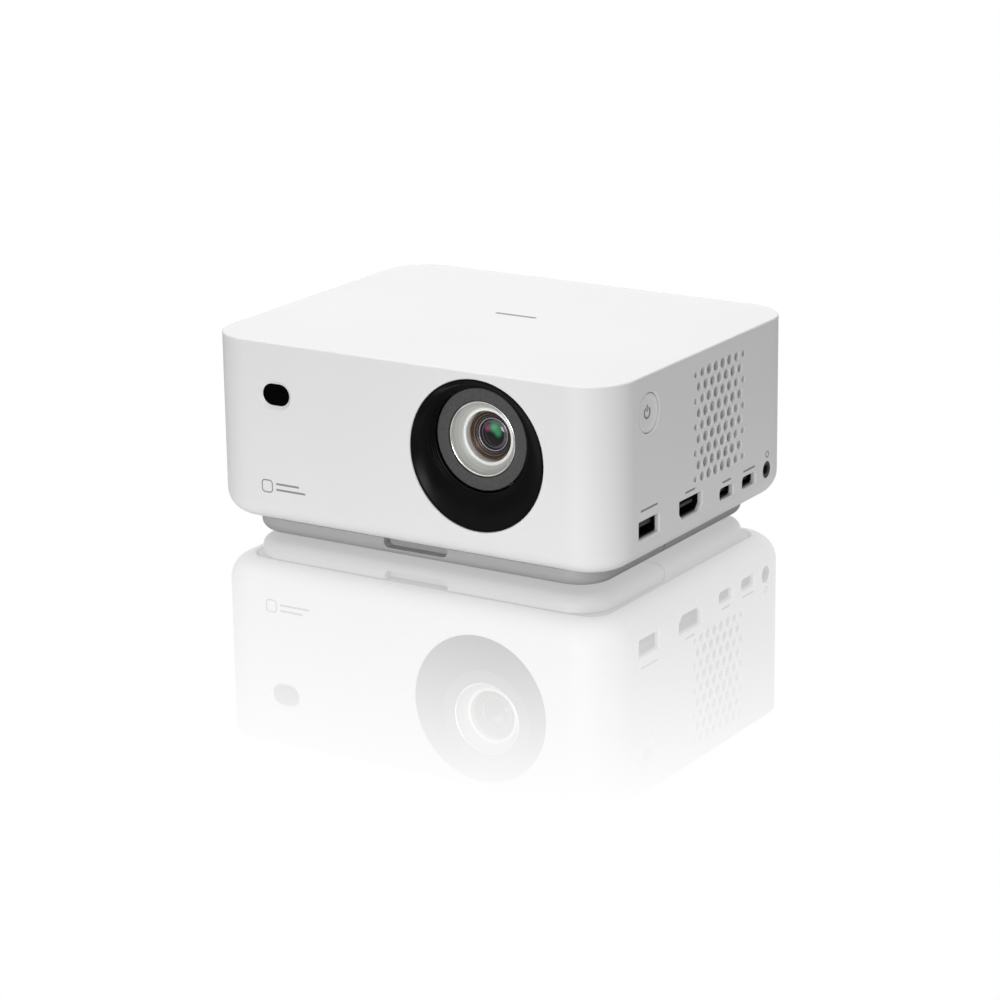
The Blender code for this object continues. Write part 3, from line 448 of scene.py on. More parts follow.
# Vents: round holes with softly rounded mouths, straight through the wall, in rows of eight with rows of
# seven between them. Those at the ends of the rows are smaller, so that the field fades out. Both sides
# have the same field.
VENT_ROWS = 9
VENT_PITCH_Y, VENT_PITCH_Z = 4.85, 4.61
VENT_FIRST_Y, VENT_FIRST_Z = -6.9, 66.2
vent = turned(
    "vent_tool",
    Vector((0, 0, 0)),
    "X",
    (
            (0, -1.0),
            (1.25, -1.0),
            (1.09, -0.03),
            (0.99, 0.04),
            (0.94, 0.1),
            (0.91, 0.2),
            (0.89, 0.4),
            (0.86, 2.0),
            (0, 2.0),
        ),
    20,
)
vents = []
for side in (1, -1):
    for row in range(VENT_ROWS):
        count = 8 - row % 2
        for column in range(count):
            from_end = min(column, count - 1 - column) + row % 2
            rim = (1.25, 1.7, 2.0)[min(from_end, 2)]
            y = mm(VENT_FIRST_Y + (column + (row % 2) / 2) * VENT_PITCH_Y)
            z = mm(VENT_FIRST_Z - row * VENT_PITCH_Z)
            hole = duplicate(vent)
            turn = Matrix.Rotation(0 if side > 0 else math.pi, 4, "Z")
            depth_scale = Matrix.Diagonal((2.0, rim, rim, 1.0))
            hole.matrix_world = Matrix.Translation((side * HALF_WIDTH, y, z)) @ turn @ depth_scale
            vents.append(hole)
bpy.data.objects.remove(vent, do_unlink=True)
carve(casing, join_all(vents))

# Rear grille: seven level slots with round ends, in front of the speaker.
for k in range(7):
    z = 26.0 + 5.0 * k
    slot_tool = block("grille_slot", mm(-34.0, 60.0, z - 0.9), mm(4.0, 70.0, z + 0.9))
    round_edges(lambda e: along(e, 1), mm(0.88), 6)
    carve(casing, slot_tool)
smooth(casing)


def noise(tree, place, spacing, detail=2.0):
    """Soft noise of one spacing, as a socket."""
    return add(tree, "ShaderNodeTexNoise", {"Scale": 1 / spacing, "Detail": detail}, {"Vector": place}).outputs["Fac"]


def blend(tree, first, second, share):
    """A colour between two hex colours, as a socket."""
    return add(
        tree, "ShaderNodeMix", {"data_type": "RGBA", 6: linear(first), 7: linear(second)}, {0: share}
    ).outputs[2]


def relief(tree, strength, height, distance=mm(0.05)):
    """A surface's fine relief, as a normal's socket."""
    return add(tree, "ShaderNodeBump", {"Strength": strength, "Distance": distance}, {"Height": height}).outputs[0]


def finish_material(tree, values, links):
    """Ends a material in its one shader, with uniform values and linked patterns."""
    shader = add(tree, "ShaderNodeBsdfPrincipled", values, links)
    add(tree, "ShaderNodeOutputMaterial", links={"Surface": shader.outputs[0]})


# ABS with a spark-eroded satin grain: an even white with a soft sheen and no visible pattern until close up.
white_abs, tree, place = new_material("moulded_white_abs")
# The real grain is near 0.1 mm; 0.45 mm is as fine as shows.
grain = noise(tree, place, mm(0.45), 3.0)
flow = noise(tree, place, mm(60.0))
tone = blend(tree, "#E9E9E9", "#EEEEEE", flow)
sheen = add(
    tree,
    "ShaderNodeMapRange",
    {"From Min": 0.3, "From Max": 0.7, "To Min": 0.42, "To Max": 0.5},
    {"Value": grain},
)
bumps = relief(tree, 0.06, grain)
finish_material(tree, {"IOR": 1.53}, {"Base Color": tone, "Roughness": sheen.outputs["Result"], "Normal": bumps})
casing.data.materials.append(white_abs)
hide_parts("upper_casing")
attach(casing, "case")


# Printed marks. Pad-printed grey ink, a few hundredths of a millimetre thick: a plain badge and two lines at
# the front's lower left, a short bar on the lid, and a small bar over each socket in place of its label.
ink, tree, place = new_material("pad_printed_grey_ink")
dots = noise(tree, place, mm(0.3), 1.0)
cover = blend(tree, "#7E7E80", "#98989A", dots)
finish_material(tree, {"Roughness": 0.6, "IOR": 1.5}, {"Base Color": cover})


def print_bar(name, low, high, thick_axis, corner):
    """One bar of ink with rounded ends, lying on the casing's outer face."""
    bar = block(name, low, high)
    round_edges(lambda e: along(e, thick_axis), corner, 4)
    bpy.ops.object.mode_set(mode="OBJECT")
    bar.data.materials.append(ink)
    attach(bar, "case")


print_bar("print_line_upper", mm(-52.4, -66.0, 23.0), mm(-42.6, -65.9, 23.7), 1, mm(0.34))
print_bar("print_line_lower", mm(-52.4, -66.0, 20.9), mm(-40.0, -65.9, 21.6), 1, mm(0.34))
print_bar("print_lid_bar", mm(-8.5, 8.6, 73.9), mm(8.5, 10.2, 74.0), 2, mm(0.79))
print_bar("print_usb_a", mm(81.9, -44.8, 27.4), mm(82.0, -33.4, 28.1), 0, mm(0.34))
print_bar("print_hdmi", mm(81.9, -14.2, 26.0), mm(82.0, -7.4, 26.7), 0, mm(0.34))
print_bar("print_usb_c", mm(81.9, 12.2, 22.9), mm(82.0, 18.4, 23.6), 0, mm(0.34))
print_bar("print_power_in", mm(81.9, 27.6, 22.9), mm(82.0, 36.2, 23.6), 0, mm(0.34))
headphone_mark = turned(
    "print_headphone",
    JACK + mm(0, 0, 5.7),
    "X",
    ((1.25, 0.1), (1.25, 0.0), (0.85, 0.0), (0.85, 0.1), (1.25, 0.1)),
    32,
)
headphone_mark.data.materials.append(ink)
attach(headphone_mark, "case")
badge = block("print_badge", mm(-58.6, -66.0, 19.7), mm(-53.8, -65.9, 24.5))
round_edges(lambda e: along(e, 1), mm(1.4), 6)
for face_y in (-66.0, -65.9):
    pick("faces", lambda f: at(f, 1, mm(face_y)))
    bpy.ops.mesh.inset(thickness=mm(0.45))
    bpy.ops.mesh.delete(type="FACE")
pick("edges", lambda e: len(e.link_faces) == 1)
bpy.ops.mesh.bridge_edge_loops()
bpy.ops.mesh.select_all(action="SELECT")
bpy.ops.mesh.normals_make_consistent(inside=False)
bpy.ops.object.mode_set(mode="OBJECT")
badge.data.materials.append(ink)
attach(badge, "case")


# Base tray. A grey glass-filled moulding that closes the casing from below; its rear half is the deep part
# of the plinth. Four screws, the tripod insert and the stand's hinge ears are in it.
PLINTH_SIDE = mm(71.6)
PLINTH_FRONT = mm(-57.8)
PLINTH_REAR = mm(55.6)
PLINTH_FOOT = mm(1.6)
PLINTH_CORNER = mm(13.5)
PLINTH_FOOT_ROUND = mm(3.6)
HINGE = mm(0, -13.3, 4.75)
SPLIT = mm(-9.85)
tray = block("tray_plate", (mm(-72.2), mm(-56.2), mm(8.05)), (mm(72.2), mm(56.2), mm(10.0)))
round_edges(lambda e: along(e, 2), mm(8.0), 12)
plinth_rear = block("plinth_rear", (-PLINTH_SIDE, SPLIT, PLINTH_FOOT), (PLINTH_SIDE, PLINTH_REAR, mm(9.0)))
round_edges(lambda e: along(e, 2) and e.verts[0].co.y > 0, PLINTH_CORNER, 18)
round_edges(lambda e: at(e, 2, PLINTH_FOOT) and not at(e, 1, SPLIT), PLINTH_FOOT_ROUND, 8)
carve(tray, plinth_rear, "UNION")
for side in (-1, 1):
    ear = block("hinge_ear", mm(side * 55 - 2.7, -15.5, 2.55), mm(side * 55 + 2.7, -11.1, 9.0))
    round_edges(lambda e: along(e, 0) and at(e, 2, mm(2.55)), mm(2.19), 8)
    carve(tray, ear, "UNION")
    pin_hole = turned(
        "pin_hole", mm(side * 55 + 6, -13.3, 4.75), "X", ((0, 0), (1.27, 0), (1.27, 12), (0, 12)), 24
    )
    carve(tray, pin_hole)
for x, y, reach, radius in (
    (-44, 40, 2.8, 6.2),
    (44, 40, 2.8, 6.2),
    (-62, 46, 5.0, 3.2),
    (62, 46, 5.0, 3.2),
    (0, 8, 8.5, 5.2),
):
    well = turned(
        "tray_well",
        mm(x, y, 0),
        "Z",
        ((0, 1), (radius + 0.4, 1), (radius + 0.4, -1.6), (radius, -2.0), (radius, -reach), (0, -reach)),
        40,
    )
    carve(tray, well)
smooth(tray)

grey_abs, tree, place = new_material("moulded_grey_abs")
grain = noise(tree, place, mm(0.6), 3.0)
tone = blend(tree, "#A3A3A4", "#AAAAAB", grain)
bumps = relief(tree, 0.1, grain)
finish_material(tree, {"Roughness": 0.5, "IOR": 1.52}, {"Base Color": tone, "Normal": bumps})
tray.data.materials.append(grey_abs)
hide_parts("base_tray")
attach(tray, "case")


# Kickstand. The plinth's front half, moulded like the tray, pivots on two steel pins near the middle; a
# fingertip pulls it down by the notch in its front edge. Its underside carries the front foot pads.
STAND_TOP = mm(7.6)
stand = block(
    "kickstand_plinth", (-PLINTH_SIDE, PLINTH_FRONT, PLINTH_FOOT), (PLINTH_SIDE, HINGE.y + mm(5), STAND_TOP)
)
round_edges(lambda e: along(e, 2) and e.verts[0].co.y < mm(-30), PLINTH_CORNER, 18)
round_edges(
    lambda e: at(e, 2, PLINTH_FOOT) and (not along(e, 0) or at(e, 1, PLINTH_FRONT)), PLINTH_FOOT_ROUND, 8
)
round_edges(lambda e: at(e, 2, STAND_TOP) and e.verts[0].co.y < mm(-14), mm(0.35), 2)
# The hinge edge is rounded about the pins from side to side, so that it clears the tray as it turns.
STAND_REAR = HINGE.y + mm(2.85)
swing = block("stand_swing", (mm(-80), mm(-70), PLINTH_FOOT), (mm(80), STAND_REAR, STAND_TOP))
round_edges(lambda e: along(e, 0) and at(e, 1, STAND_REAR), mm(2.8), 8)
carve(stand, swing, "INTERSECT")
for side in (-1, 1):
    pocket = block("stand_pocket", mm(35 * side - 33, -43, 4.2), mm(35 * side + 33, -17, 12))
    round_edges(lambda e: along(e, 2), mm(1.5), 4)
    carve(stand, pocket)
    ear_slot = block("ear_slot", mm(side * 55 - 3.0, -16.1, -2), mm(side * 55 + 3.0, -5, 12))
    carve(stand, ear_slot)
    foot_well = turned(
        "foot_well",
        mm(side * 44, -35, 0),
        "Z",
        ((0, 1), (6.6, 1), (6.6, -1.6), (6.3, -1.9), (6.3, -2.8), (0, -2.8)),
        40,
    )
    carve(stand, foot_well)
notch = block("finger_notch", mm(-13.0, -60, 4.2), mm(13.0, -54, 12))
round_edges(lambda e: along(e, 1) and at(e, 2, mm(4.2)), mm(2.0), 6)
carve(stand, notch)
smooth(stand)
stand.data.materials.append(grey_abs)
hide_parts("kickstand")
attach(stand, "stand")


# Foot pads. Four die-cut silicone rubber discs, stuck into shallow wells in the stand and the tray; they stand
# the plinth a millimetre and a half off the table.
silicone, tree, place = new_material("die_cut_silicone_rubber")
dust = noise(tree, place, mm(0.8), 4.0)
tone = blend(tree, "#343436", "#48484A", dust)
bumps = relief(tree, 0.2, dust)
finish_material(tree, {"Roughness": 0.85, "IOR": 1.41}, {"Base Color": tone, "Normal": bumps})
for name, body in (
    ("foot_front_left", "stand"),
    ("foot_front_right", "stand"),
    ("foot_rear_left", "case"),
    ("foot_rear_right", "case"),
):
    low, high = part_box(name)
    middle = (low[0] + high[0]) / 2, (low[1] + high[1]) / 2, low[2]
    pad = turned(
        "pad_" + name,
        Vector(middle),
        "Z",
        ((0, -0.35), (3.2, -0.35), (3.5, 0), (5.4, 0), (5.8, -0.15), (5.95, -0.5), (5.95, -2.4), (0, -2.4)),
        48,
    )
    smooth(pad)
    pad.data.materials.append(silicone)
    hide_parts(name)
    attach(pad, body)


# Lens bezel. A polished black ABS dish clipped into the round hole of the front; it leans in towards the lens,
# which sits above its middle, and ends in three fine steps round the lens.
dish_rings = [(26.3, 4.5, 0.0), (26.3, 0.35, 0.0), (26.05, 0.1, 0.0), (25.7, 0.12, 0.0)]
for k in range(1, 13):
    share = k / 12
    radius = 25.7 - share * 6.0
    depth = 0.12 + 1.7 * math.sin(share * math.pi / 2)
    dish_rings.append((radius, depth, 4.15 * share))
dish_rings += [
    (19.62, 2.35, 4.15),
    (19.25, 2.38, 4.25),
    (19.15, 2.9, 4.25),
    (18.8, 2.93, 4.4),
    (18.7, 3.5, 4.4),
    (18.35, 3.55, 4.65),
    (18.15, 4.2, 4.9),
    (18.15, 6.9, 4.9),
    (20.1, 6.9, 4.9),
    (20.3, 4.4, 4.4),
    (25.1, 3.2, 0.1),
    (25.1, 4.5, 0.0),
    (26.3, 4.5, 0.0),
]
bezel = turned(
    "bezel_dish",
    BEZEL,
    "Y",
    dish_rings,
    128,
)
apply_modifier(bezel, "BEVEL", width=mm(0.08), segments=2, limit_method="ANGLE", angle_limit=math.radians(40))
smooth(bezel, 50)

black_gloss, tree, place = new_material("polished_black_abs")
haze = noise(tree, place, mm(8.0))
polish = add(
    tree,
    "ShaderNodeMapRange",
    {"From Min": 0.3, "From Max": 0.7, "To Min": 0.2, "To Max": 0.26},
    {"Value": haze},
)
deep = blend(tree, "#08080A", "#0C0C0E", haze)
finish_material(
    tree,
    {"IOR": 1.45, "Specular IOR Level": 0.08},
    {"Base Color": deep, "Roughness": polish.outputs["Result"]},
)
bezel.data.materials.append(black_gloss)
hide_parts("lens_bezel")
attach(bezel, "case")


# Lens hood. A flat dark ring round the lens mouth, moulded with a coarse matt grain so that it doesn't glare.
hood = turned(
    "hood_ring",
    LENS_MOUTH,
    "Y",
    (
            (17.7, 6.0),
            (17.7, 4.1),
            (17.5, 3.92),
            (17.0, 3.9),
            (13.7, 3.9),
            (13.4, 3.98),
            (13.25, 4.3),
            (13.25, 6.0),
            (17.7, 6.0),
        ),
    128,
)
smooth(hood)
grained_black, tree, place = new_material("grained_black_polycarbonate")
pits = add(tree, "ShaderNodeTexVoronoi", {"Scale": 1 / mm(0.55)}, {"Vector": place})
cloud = noise(tree, place, mm(0.7), 4.0)
fleck = blend(tree, "#262626", "#525252", cloud)
bumps = relief(tree, 0.5, pits.outputs["Distance"], mm(0.12))
finish_material(tree, {"Roughness": 0.62, "IOR": 1.5}, {"Base Color": fleck, "Normal": bumps})
hood.data.materials.append(grained_black)
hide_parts("lens_hood")
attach(hood, "case")


# Lens cone. The light grey funnel round the front glass: moulded in grey polycarbonate, satin, with a raised
# bead at its mouth and a broad light lip at its neck.
cone_rings = [(12.98, 11.0), (12.98, 5.2), (12.9, 4.95), (12.72, 4.85), (12.54, 4.95), (12.45, 5.3), (12.35, 5.6)]
for step in range(1, 13):
    share = step / 12
    cone_rings.append((12.35 - 2.45 * share, 5.6 + 2.5 * share + 0.35 * math.sin(share * math.pi)))
cone_rings += [(9.75, 8.0), (9.6, 7.96), (9.1, 8.1), (8.9, 8.3), (8.82, 8.7), (8.82, 11.0), (12.98, 11.0)]
cone = turned("funnel", LENS_MOUTH, "Y", cone_rings, 128)
smooth(cone, 25)


def centred_on(tree, place, x, y, z):
    """A point's place measured from another, as a socket."""
    return add(tree, "ShaderNodeVectorMath", {"operation": "SUBTRACT", 1: (x, y, z)}, {0: place}).outputs[0]


def distance_off_axis(tree, centred):
    """How far a point is from the lens's axis, as a socket."""
    flat = add(tree, "ShaderNodeVectorMath", {"operation": "MULTIPLY", 1: (1, 0, 1)}, {0: centred})
    return add(tree, "ShaderNodeVectorMath", {"operation": "LENGTH"}, {0: flat.outputs[0]}).outputs["Value"]


def laid_over(tree, under, shade, share):
    """One flat colour laid over another by a share, as a socket."""
    return add(tree, "ShaderNodeMix", {"data_type": "RGBA", 7: linear(shade)}, {0: share, 6: under}).outputs[2]


satin_grey, tree, place = new_material("satin_grey_polycarbonate")
centred = centred_on(tree, place, *LENS_MOUTH)
# Turned tool marks, real spacing near 0.1 mm, drawn at 0.45 mm.
lathe = add(
    tree,
    "ShaderNodeTexWave",
    {"wave_type": "RINGS", "rings_direction": "Y", "Scale": 1 / mm(2.8), "Distortion": 0.8, "Detail": 2.0},
    {"Vector": centred},
)
tone = blend(tree, "#B4B5B1", "#BDBEBA", lathe.outputs["Fac"])
bumps = relief(tree, 0.03, lathe.outputs["Fac"], mm(0.1))
# The neck's lip, inside a radius of 9.85 mm, is coloured lighter.
off_axis = distance_off_axis(tree, centred)
lip = add(
    tree,
    "ShaderNodeMapRange",
    {"From Min": mm(9.7), "From Max": mm(10.1), "To Min": 1.0, "To Max": 0.0},
    {"Value": off_axis},
)
tone_with_light_lip = laid_over(tree, tone, "#F2F3F0", lip.outputs["Result"])
finish_material(tree, {"Roughness": 0.34, "IOR": 1.58}, {"Base Color": tone_with_light_lip, "Normal": bumps})
cone.data.materials.append(satin_grey)
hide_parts("lens_cone")
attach(cone, "lens_group")

# Trim ring: turned steel, nickel-plated and polished, pressed over the cone's mouth; it shows as one bright line.
trim = turned(
    "trim_ring",
    LENS_MOUTH,
    "Y",
    ((13.1, 5.4), (13.1, 4.55), (12.98, 4.36), (12.76, 4.3), (12.5, 4.4), (12.42, 4.6), (12.42, 5.4), (13.1, 5.4)),
    128,
)
smooth(trim, 50)
nickel, tree, place = new_material("polished_nickel_plate")
wear = noise(tree, place, mm(1.5), 3.0)
polish = add(tree, "ShaderNodeMapRange", {"To Min": 0.12, "To Max": 0.22}, {"Value": wear})
tone = blend(tree, "#D8D7D4", "#E4E3E0", wear)
finish_material(tree, {"Metallic": 1.0}, {"Base Color": tone, "Roughness": polish.outputs["Result"]})
trim.data.materials.append(nickel)
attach(trim, "lens_group")


# Lens barrel. A black anodised tube with stepped light baffles down to the retaining ring of the front glass;
# fine bronze-brown rings are painted on the corners of the steps as highlights.
barrel = turned(
    "barrel_steps",
    LENS_MOUTH,
    "Y",
    (
            (12.95, 30.0),
            (12.95, 11.3),
            (8.5, 11.3),
            (8.5, 10.1),
            (8.3, 9.95),
            (7.9, 9.95),
            (7.8, 10.4),
            (7.25, 10.4),
            (7.15, 10.85),
            (6.6, 10.85),
            (6.5, 11.3),
            (6.0, 11.35),
            (5.8, 11.15),
            (5.5, 11.15),
            (5.35, 11.5),
            (5.35, 14.6),
            (10.4, 14.6),
            (10.4, 30.0),
            (12.95, 30.0),
        ),
    96,
)
apply_modifier(barrel, "BEVEL", width=mm(0.1), segments=2, limit_method="ANGLE", angle_limit=math.radians(40))
smooth(barrel, 50)
anodised, tree, place = new_material("black_anodised_aluminium")
centred = centred_on(tree, place, *LENS_MOUTH)
turning = add(
    tree,
    "ShaderNodeTexWave",
    {"wave_type": "RINGS", "rings_direction": "Y", "Scale": 1 / mm(1.6), "Distortion": 0.2},
    {"Vector": centred},
)
tint = blend(tree, "#100F0E", "#2E2620", turning.outputs["Fac"])
# Painted highlights: thin lighter rings, bronze-brown and grey, painted on the corners of the steps where they would
# catch the light.
off_axis = distance_off_axis(tree, centred)
for radius, width, shade in (
    (5.6, 0.3, "#9A979C"),
    (6.5, 0.12, "#6E6862"),
    (7.2, 0.14, "#8A7460"),
    (7.85, 0.1, "#5C5048"),
    (8.35, 0.22, "#9A7A5C"),
):
    off = add(tree, "ShaderNodeMath", {"operation": "SUBTRACT", 1: mm(radius)}, {0: off_axis})
    near = add(tree, "ShaderNodeMath", {"operation": "ABSOLUTE"}, {0: off.outputs[0]})
    painted_highlight_share = add(
        tree,
        "ShaderNodeMapRange",
        {"From Min": mm(width * 0.5), "From Max": mm(width), "To Min": 1.0, "To Max": 0.0},
        {"Value": near.outputs[0]},
    )
    tint = laid_over(tree, tint, shade, painted_highlight_share.outputs["Result"])
finish_material(tree, {"Metallic": 0.35, "Roughness": 0.22}, {"Base Color": tint})
barrel.data.materials.append(anodised)
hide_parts("lens_barrel")
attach(barrel, "lens_group")


# Front lens. Ground glass with a magnesium-fluoride coating: nearly black to look into, with green and magenta
# glints on its dome painted into its colour as reflections.
dome = [(0, 13.4), (5.1, 13.4), (5.1, 12.0), (4.95, 11.9)]
for k in range(1, 9):
    turn = k / 9 * math.pi / 2
    dome.append((4.95 * math.cos(turn), 11.9 - 0.95 * math.sin(turn) ** 1.3))
dome.append((0, 10.95))
front_glass = turned("front_glass", LENS_MOUTH, "Y", dome, 64)
smooth(front_glass, 40)
coated, tree, place = new_material("coated_optical_glass")
# A pale purple-grey ring at the rim, then painted reflections: a green bloom above the middle, a small magenta one
# beside it, and a painted dark reflection of the barrel. Each is a soft disc round its own middle, laid over those
# before it.
tone = None
for across, up, near, far, share_near, share_far, shade in (
    (0.0, 0.0, 3.9, 4.6, 0.0, 1.0, "#5A5660"),
    (0.6, 2.2, 0.2, 3.2, 1.0, 0.0, "#55A678"),
    (1.9, 0.9, 0.0, 2.3, 1.0, 0.0, "#3F9065"),
    (-2.2, 1.9, 0.0, 1.8, 1.0, 0.0, "#9A4070"),
    (-0.7, -0.8, 0.8, 3.2, 1.0, 0.0, "#07070A"),
):
    from_middle = centred_on(tree, place, LENS_MOUTH.x + mm(across), 0, LENS_MOUTH.z + mm(up))
    share = add(
        tree,
        "ShaderNodeMapRange",
        {
            "interpolation_type": "SMOOTHSTEP",
            "From Min": mm(near),
            "From Max": mm(far),
            "To Min": share_near,
            "To Max": share_far,
        },
        {"Value": distance_off_axis(tree, from_middle)},
    )
    if tone is None:
        tone = blend(tree, "#050607", shade, share.outputs["Result"])
    else:
        tone = laid_over(tree, tone, shade, share.outputs["Result"])
finish_material(tree, {"Roughness": 0.04, "IOR": 1.5, "Specular IOR Level": 0.35}, {"Base Color": tone})
front_glass.data.materials.append(coated)
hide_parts("front_lens")
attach(front_glass, "lens_group")


# Sensor window. A pane of infrared-passing black acrylic behind the flared recess at the front's upper left,
# with the white collar that presses it against the casing.
pane = block(
    "infrared_pane", mm(SENSOR_X - 6.3, -64.7, SENSOR_Z - 4.6), mm(SENSOR_X + 6.3, -63.8, SENSOR_Z + 4.6)
)
round_edges(lambda e: along(e, 1), mm(4.55), 12)
round_edges(lambda e: at(e, 1, mm(-64.7)), mm(0.1), 2)
smooth(pane)
smoked, tree, place = new_material("infrared_black_acrylic")
depths = noise(tree, place, mm(3.0))
tone = blend(tree, "#020202", "#060507", depths)
finish_material(tree, {"Roughness": 0.12, "IOR": 1.45, "Specular IOR Level": 0.03}, {"Base Color": tone})
pane.data.materials.append(smoked)
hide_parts("sensor_window")
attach(pane, "case")
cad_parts["window_collar"].data.materials.clear()
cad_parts["window_collar"].data.materials.append(white_abs)


# Power button. A white ABS cap with a shallow thumb dish, sitting flush in a thin gap; its symbol, a ring open
# at the top with a bar through the opening, is printed in grey.
cap = turned(
    "button_cap",
    BUTTON,
    "X",
    (
            (0, 0.95),
            (2.5, 0.88),
            (4.4, 0.66),
            (5.4, 0.4),
            (6.0, 0.17),
            (6.3, 0.12),
            (6.6, 0.22),
            (6.85, 0.48),
            (6.98, 0.85),
            (6.98, 2.4),
            (8.4, 2.4),
            (8.4, 3.7),
            (1.6, 3.7),
            (1.6, 8.7),
            (0, 8.7),
        ),
    80,
)
bpy.ops.object.mode_set(mode="EDIT")
bpy.ops.mesh.select_all(action="SELECT")
bpy.ops.transform.resize(value=BUTTON_OVAL, center_override=BUTTON)
smooth(cap, 35)
cap.data.materials.append(white_abs)
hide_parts("power_button")
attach(cap, "button")
symbol_ring = turned(
    "button_symbol_ring",
    BUTTON,
    "X",
    ((2.2, 1.0), (2.2, 0.84), (1.45, 0.84), (1.45, 1.0), (2.2, 1.0)),
    48,
)
opening = block("symbol_gap", mm(80, -39.95, 61.2), mm(83, -38.05, 64))
bpy.ops.object.mode_set(mode="OBJECT")
carve(symbol_ring, opening)
symbol_bar = block("button_symbol_bar", mm(81.0, -39.35, 60.8), mm(81.16, -38.65, 63.3))
round_edges(lambda e: along(e, 0), mm(0.25), 4)
bpy.ops.object.mode_set(mode="OBJECT")
for mark in (symbol_ring, symbol_bar):
    mark.data.materials.append(ink)
    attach(mark, "button")


# Sockets. Stamped and folded nickel-plated steel shells, blackened for this product, with black nylon tongues
# and gold-plated contacts. They are soldered to the main board's edge and face the windows from behind.
blackened, tree, place = new_material("black_nickel_plate")
rolling = add(tree, "ShaderNodeMapping", {"Scale": (0.08, 1.0, 1.0)}, {"Vector": place})
streak = noise(tree, rolling.outputs[0], mm(0.5), 3.0)
rough = add(
    tree,
    "ShaderNodeMapRange",
    {"From Min": 0.3, "From Max": 0.7, "To Min": 0.3, "To Max": 0.45},
    {"Value": streak},
)
tone = blend(tree, "#262628", "#38383B", streak)
finish_material(tree, {"Metallic": 1.0}, {"Base Color": tone, "Roughness": rough.outputs["Result"]})

nylon, tree, place = new_material("black_glass_filled_nylon")
fibres = noise(tree, place, mm(0.7), 5.0)
tone = blend(tree, "#0E0E0F", "#1C1C1D", fibres)
bumps = relief(tree, 0.15, fibres)
finish_material(tree, {"Roughness": 0.5, "IOR": 1.53}, {"Base Color": tone, "Normal": bumps})

gold, tree, place = new_material("gold_plated_contact")
wipe = noise(tree, place, mm(0.4))
tone = blend(tree, "#B98F3E", "#D0AA5C", wipe)
finish_material(tree, {"Metallic": 1.0, "Roughness": 0.28}, {"Base Color": tone})

SOCKET_MOUTH = SIDE - mm(1.7)
for node, y, z, width, height, corner, depth, tongue_width, tongue_height, tongue_rise, contacts in (
    ("usb_a_socket", *USB_A, 13.0, 5.7, 0.5, 9.0, 11.2, 1.8, 0.9, 4),
    ("hdmi_socket", *HDMI, 15.0, 5.6, 2.0, 9.0, 11.6, 1.3, 0.3, 9),
    ("usb_c_socket", *USB_C, 9.0, 3.4, 1.65, 6.5, 6.6, 0.7, 0.0, 6),
    ("usb_c_power_socket", *USB_C_POWER, 9.0, 3.4, 1.65, 6.5, 6.6, 0.7, 0.0, 6),
):
    shell = block(
        node + "_shell",
        (SOCKET_MOUTH - mm(depth + 3.0), mm(y - width / 2), mm(z - height / 2)),
        (SOCKET_MOUTH, mm(y + width / 2), mm(z + height / 2)),
    )
    if node == "hdmi_socket":
        round_edges(lambda e: along(e, 0) and at(e, 2, mm(z - height / 2)), mm(corner), 1)
        round_edges(lambda e: along(e, 0), mm(0.3), 2)
    else:
        round_edges(lambda e: along(e, 0), mm(corner), 6)
    pick("faces", lambda f: at(f, 0, SOCKET_MOUTH))
    bpy.ops.mesh.inset(thickness=mm(0.3))
    bpy.ops.mesh.extrude_region_move(TRANSFORM_OT_translate={"value": (mm(-depth), 0, 0)})
    round_edges(lambda e: at(e, 0, SOCKET_MOUTH), mm(0.08), 2)
    smooth(shell)
    shell.data.materials.append(blackened)
    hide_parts(node)
    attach(shell, "case")
    middle = z + tongue_rise
    tongue = block(
        node + "_tongue",
        (SOCKET_MOUTH - mm(depth + 0.5), mm(y - tongue_width / 2), mm(middle - tongue_height / 2)),
        (SOCKET_MOUTH - mm(1.0), mm(y + tongue_width / 2), mm(middle + tongue_height / 2)),
    )
    round_edges(lambda e: at(e, 0, SOCKET_MOUTH - mm(1.0)), mm(0.2), 3)
    smooth(tongue)
    tongue.data.materials.append(nylon)
    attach(tongue, "case")
    under = mm(middle - tongue_height / 2)
    spacing = tongue_width / (contacts + 0.5)
    finger = block(
        node + "_contacts",
        (SOCKET_MOUTH - mm(depth), mm(y) - mm(spacing * 0.25), under - mm(0.1)),
        (SOCKET_MOUTH - mm(1.5), mm(y) + mm(spacing * 0.25), under + mm(0.05)),
    )
    round_edges(lambda e: along(e, 1), mm(0.06), 2)
    bpy.ops.object.mode_set(mode="OBJECT")
    fingers = []
    for k in range(contacts):
        fingers.append(duplicate(finger))
        fingers[-1].location = (0, mm((k - (contacts - 1) / 2) * spacing), 0)
    bpy.data.objects.remove(finger, do_unlink=True)
    row = join_all(fingers)
    row.name = node + "_contacts"
    row.data.materials.append(gold)
    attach(row, "case")

jack_body = turned(
    "audio_jack_barrel",
    JACK,
    "X",
    (
            (0, 9.0),
            (1.75, 9.0),
            (1.75, 0.7),
            (2.05, 0.4),
            (2.8, 0.35),
            (2.95, 0.5),
            (2.95, 3.0),
            (2.6, 3.2),
            (2.6, 12.0),
            (0, 12.0),
        ),
    48,
)
smooth(jack_body)
jack_body.data.materials.append(nylon)
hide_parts("audio_jack")
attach(jack_body, "case")


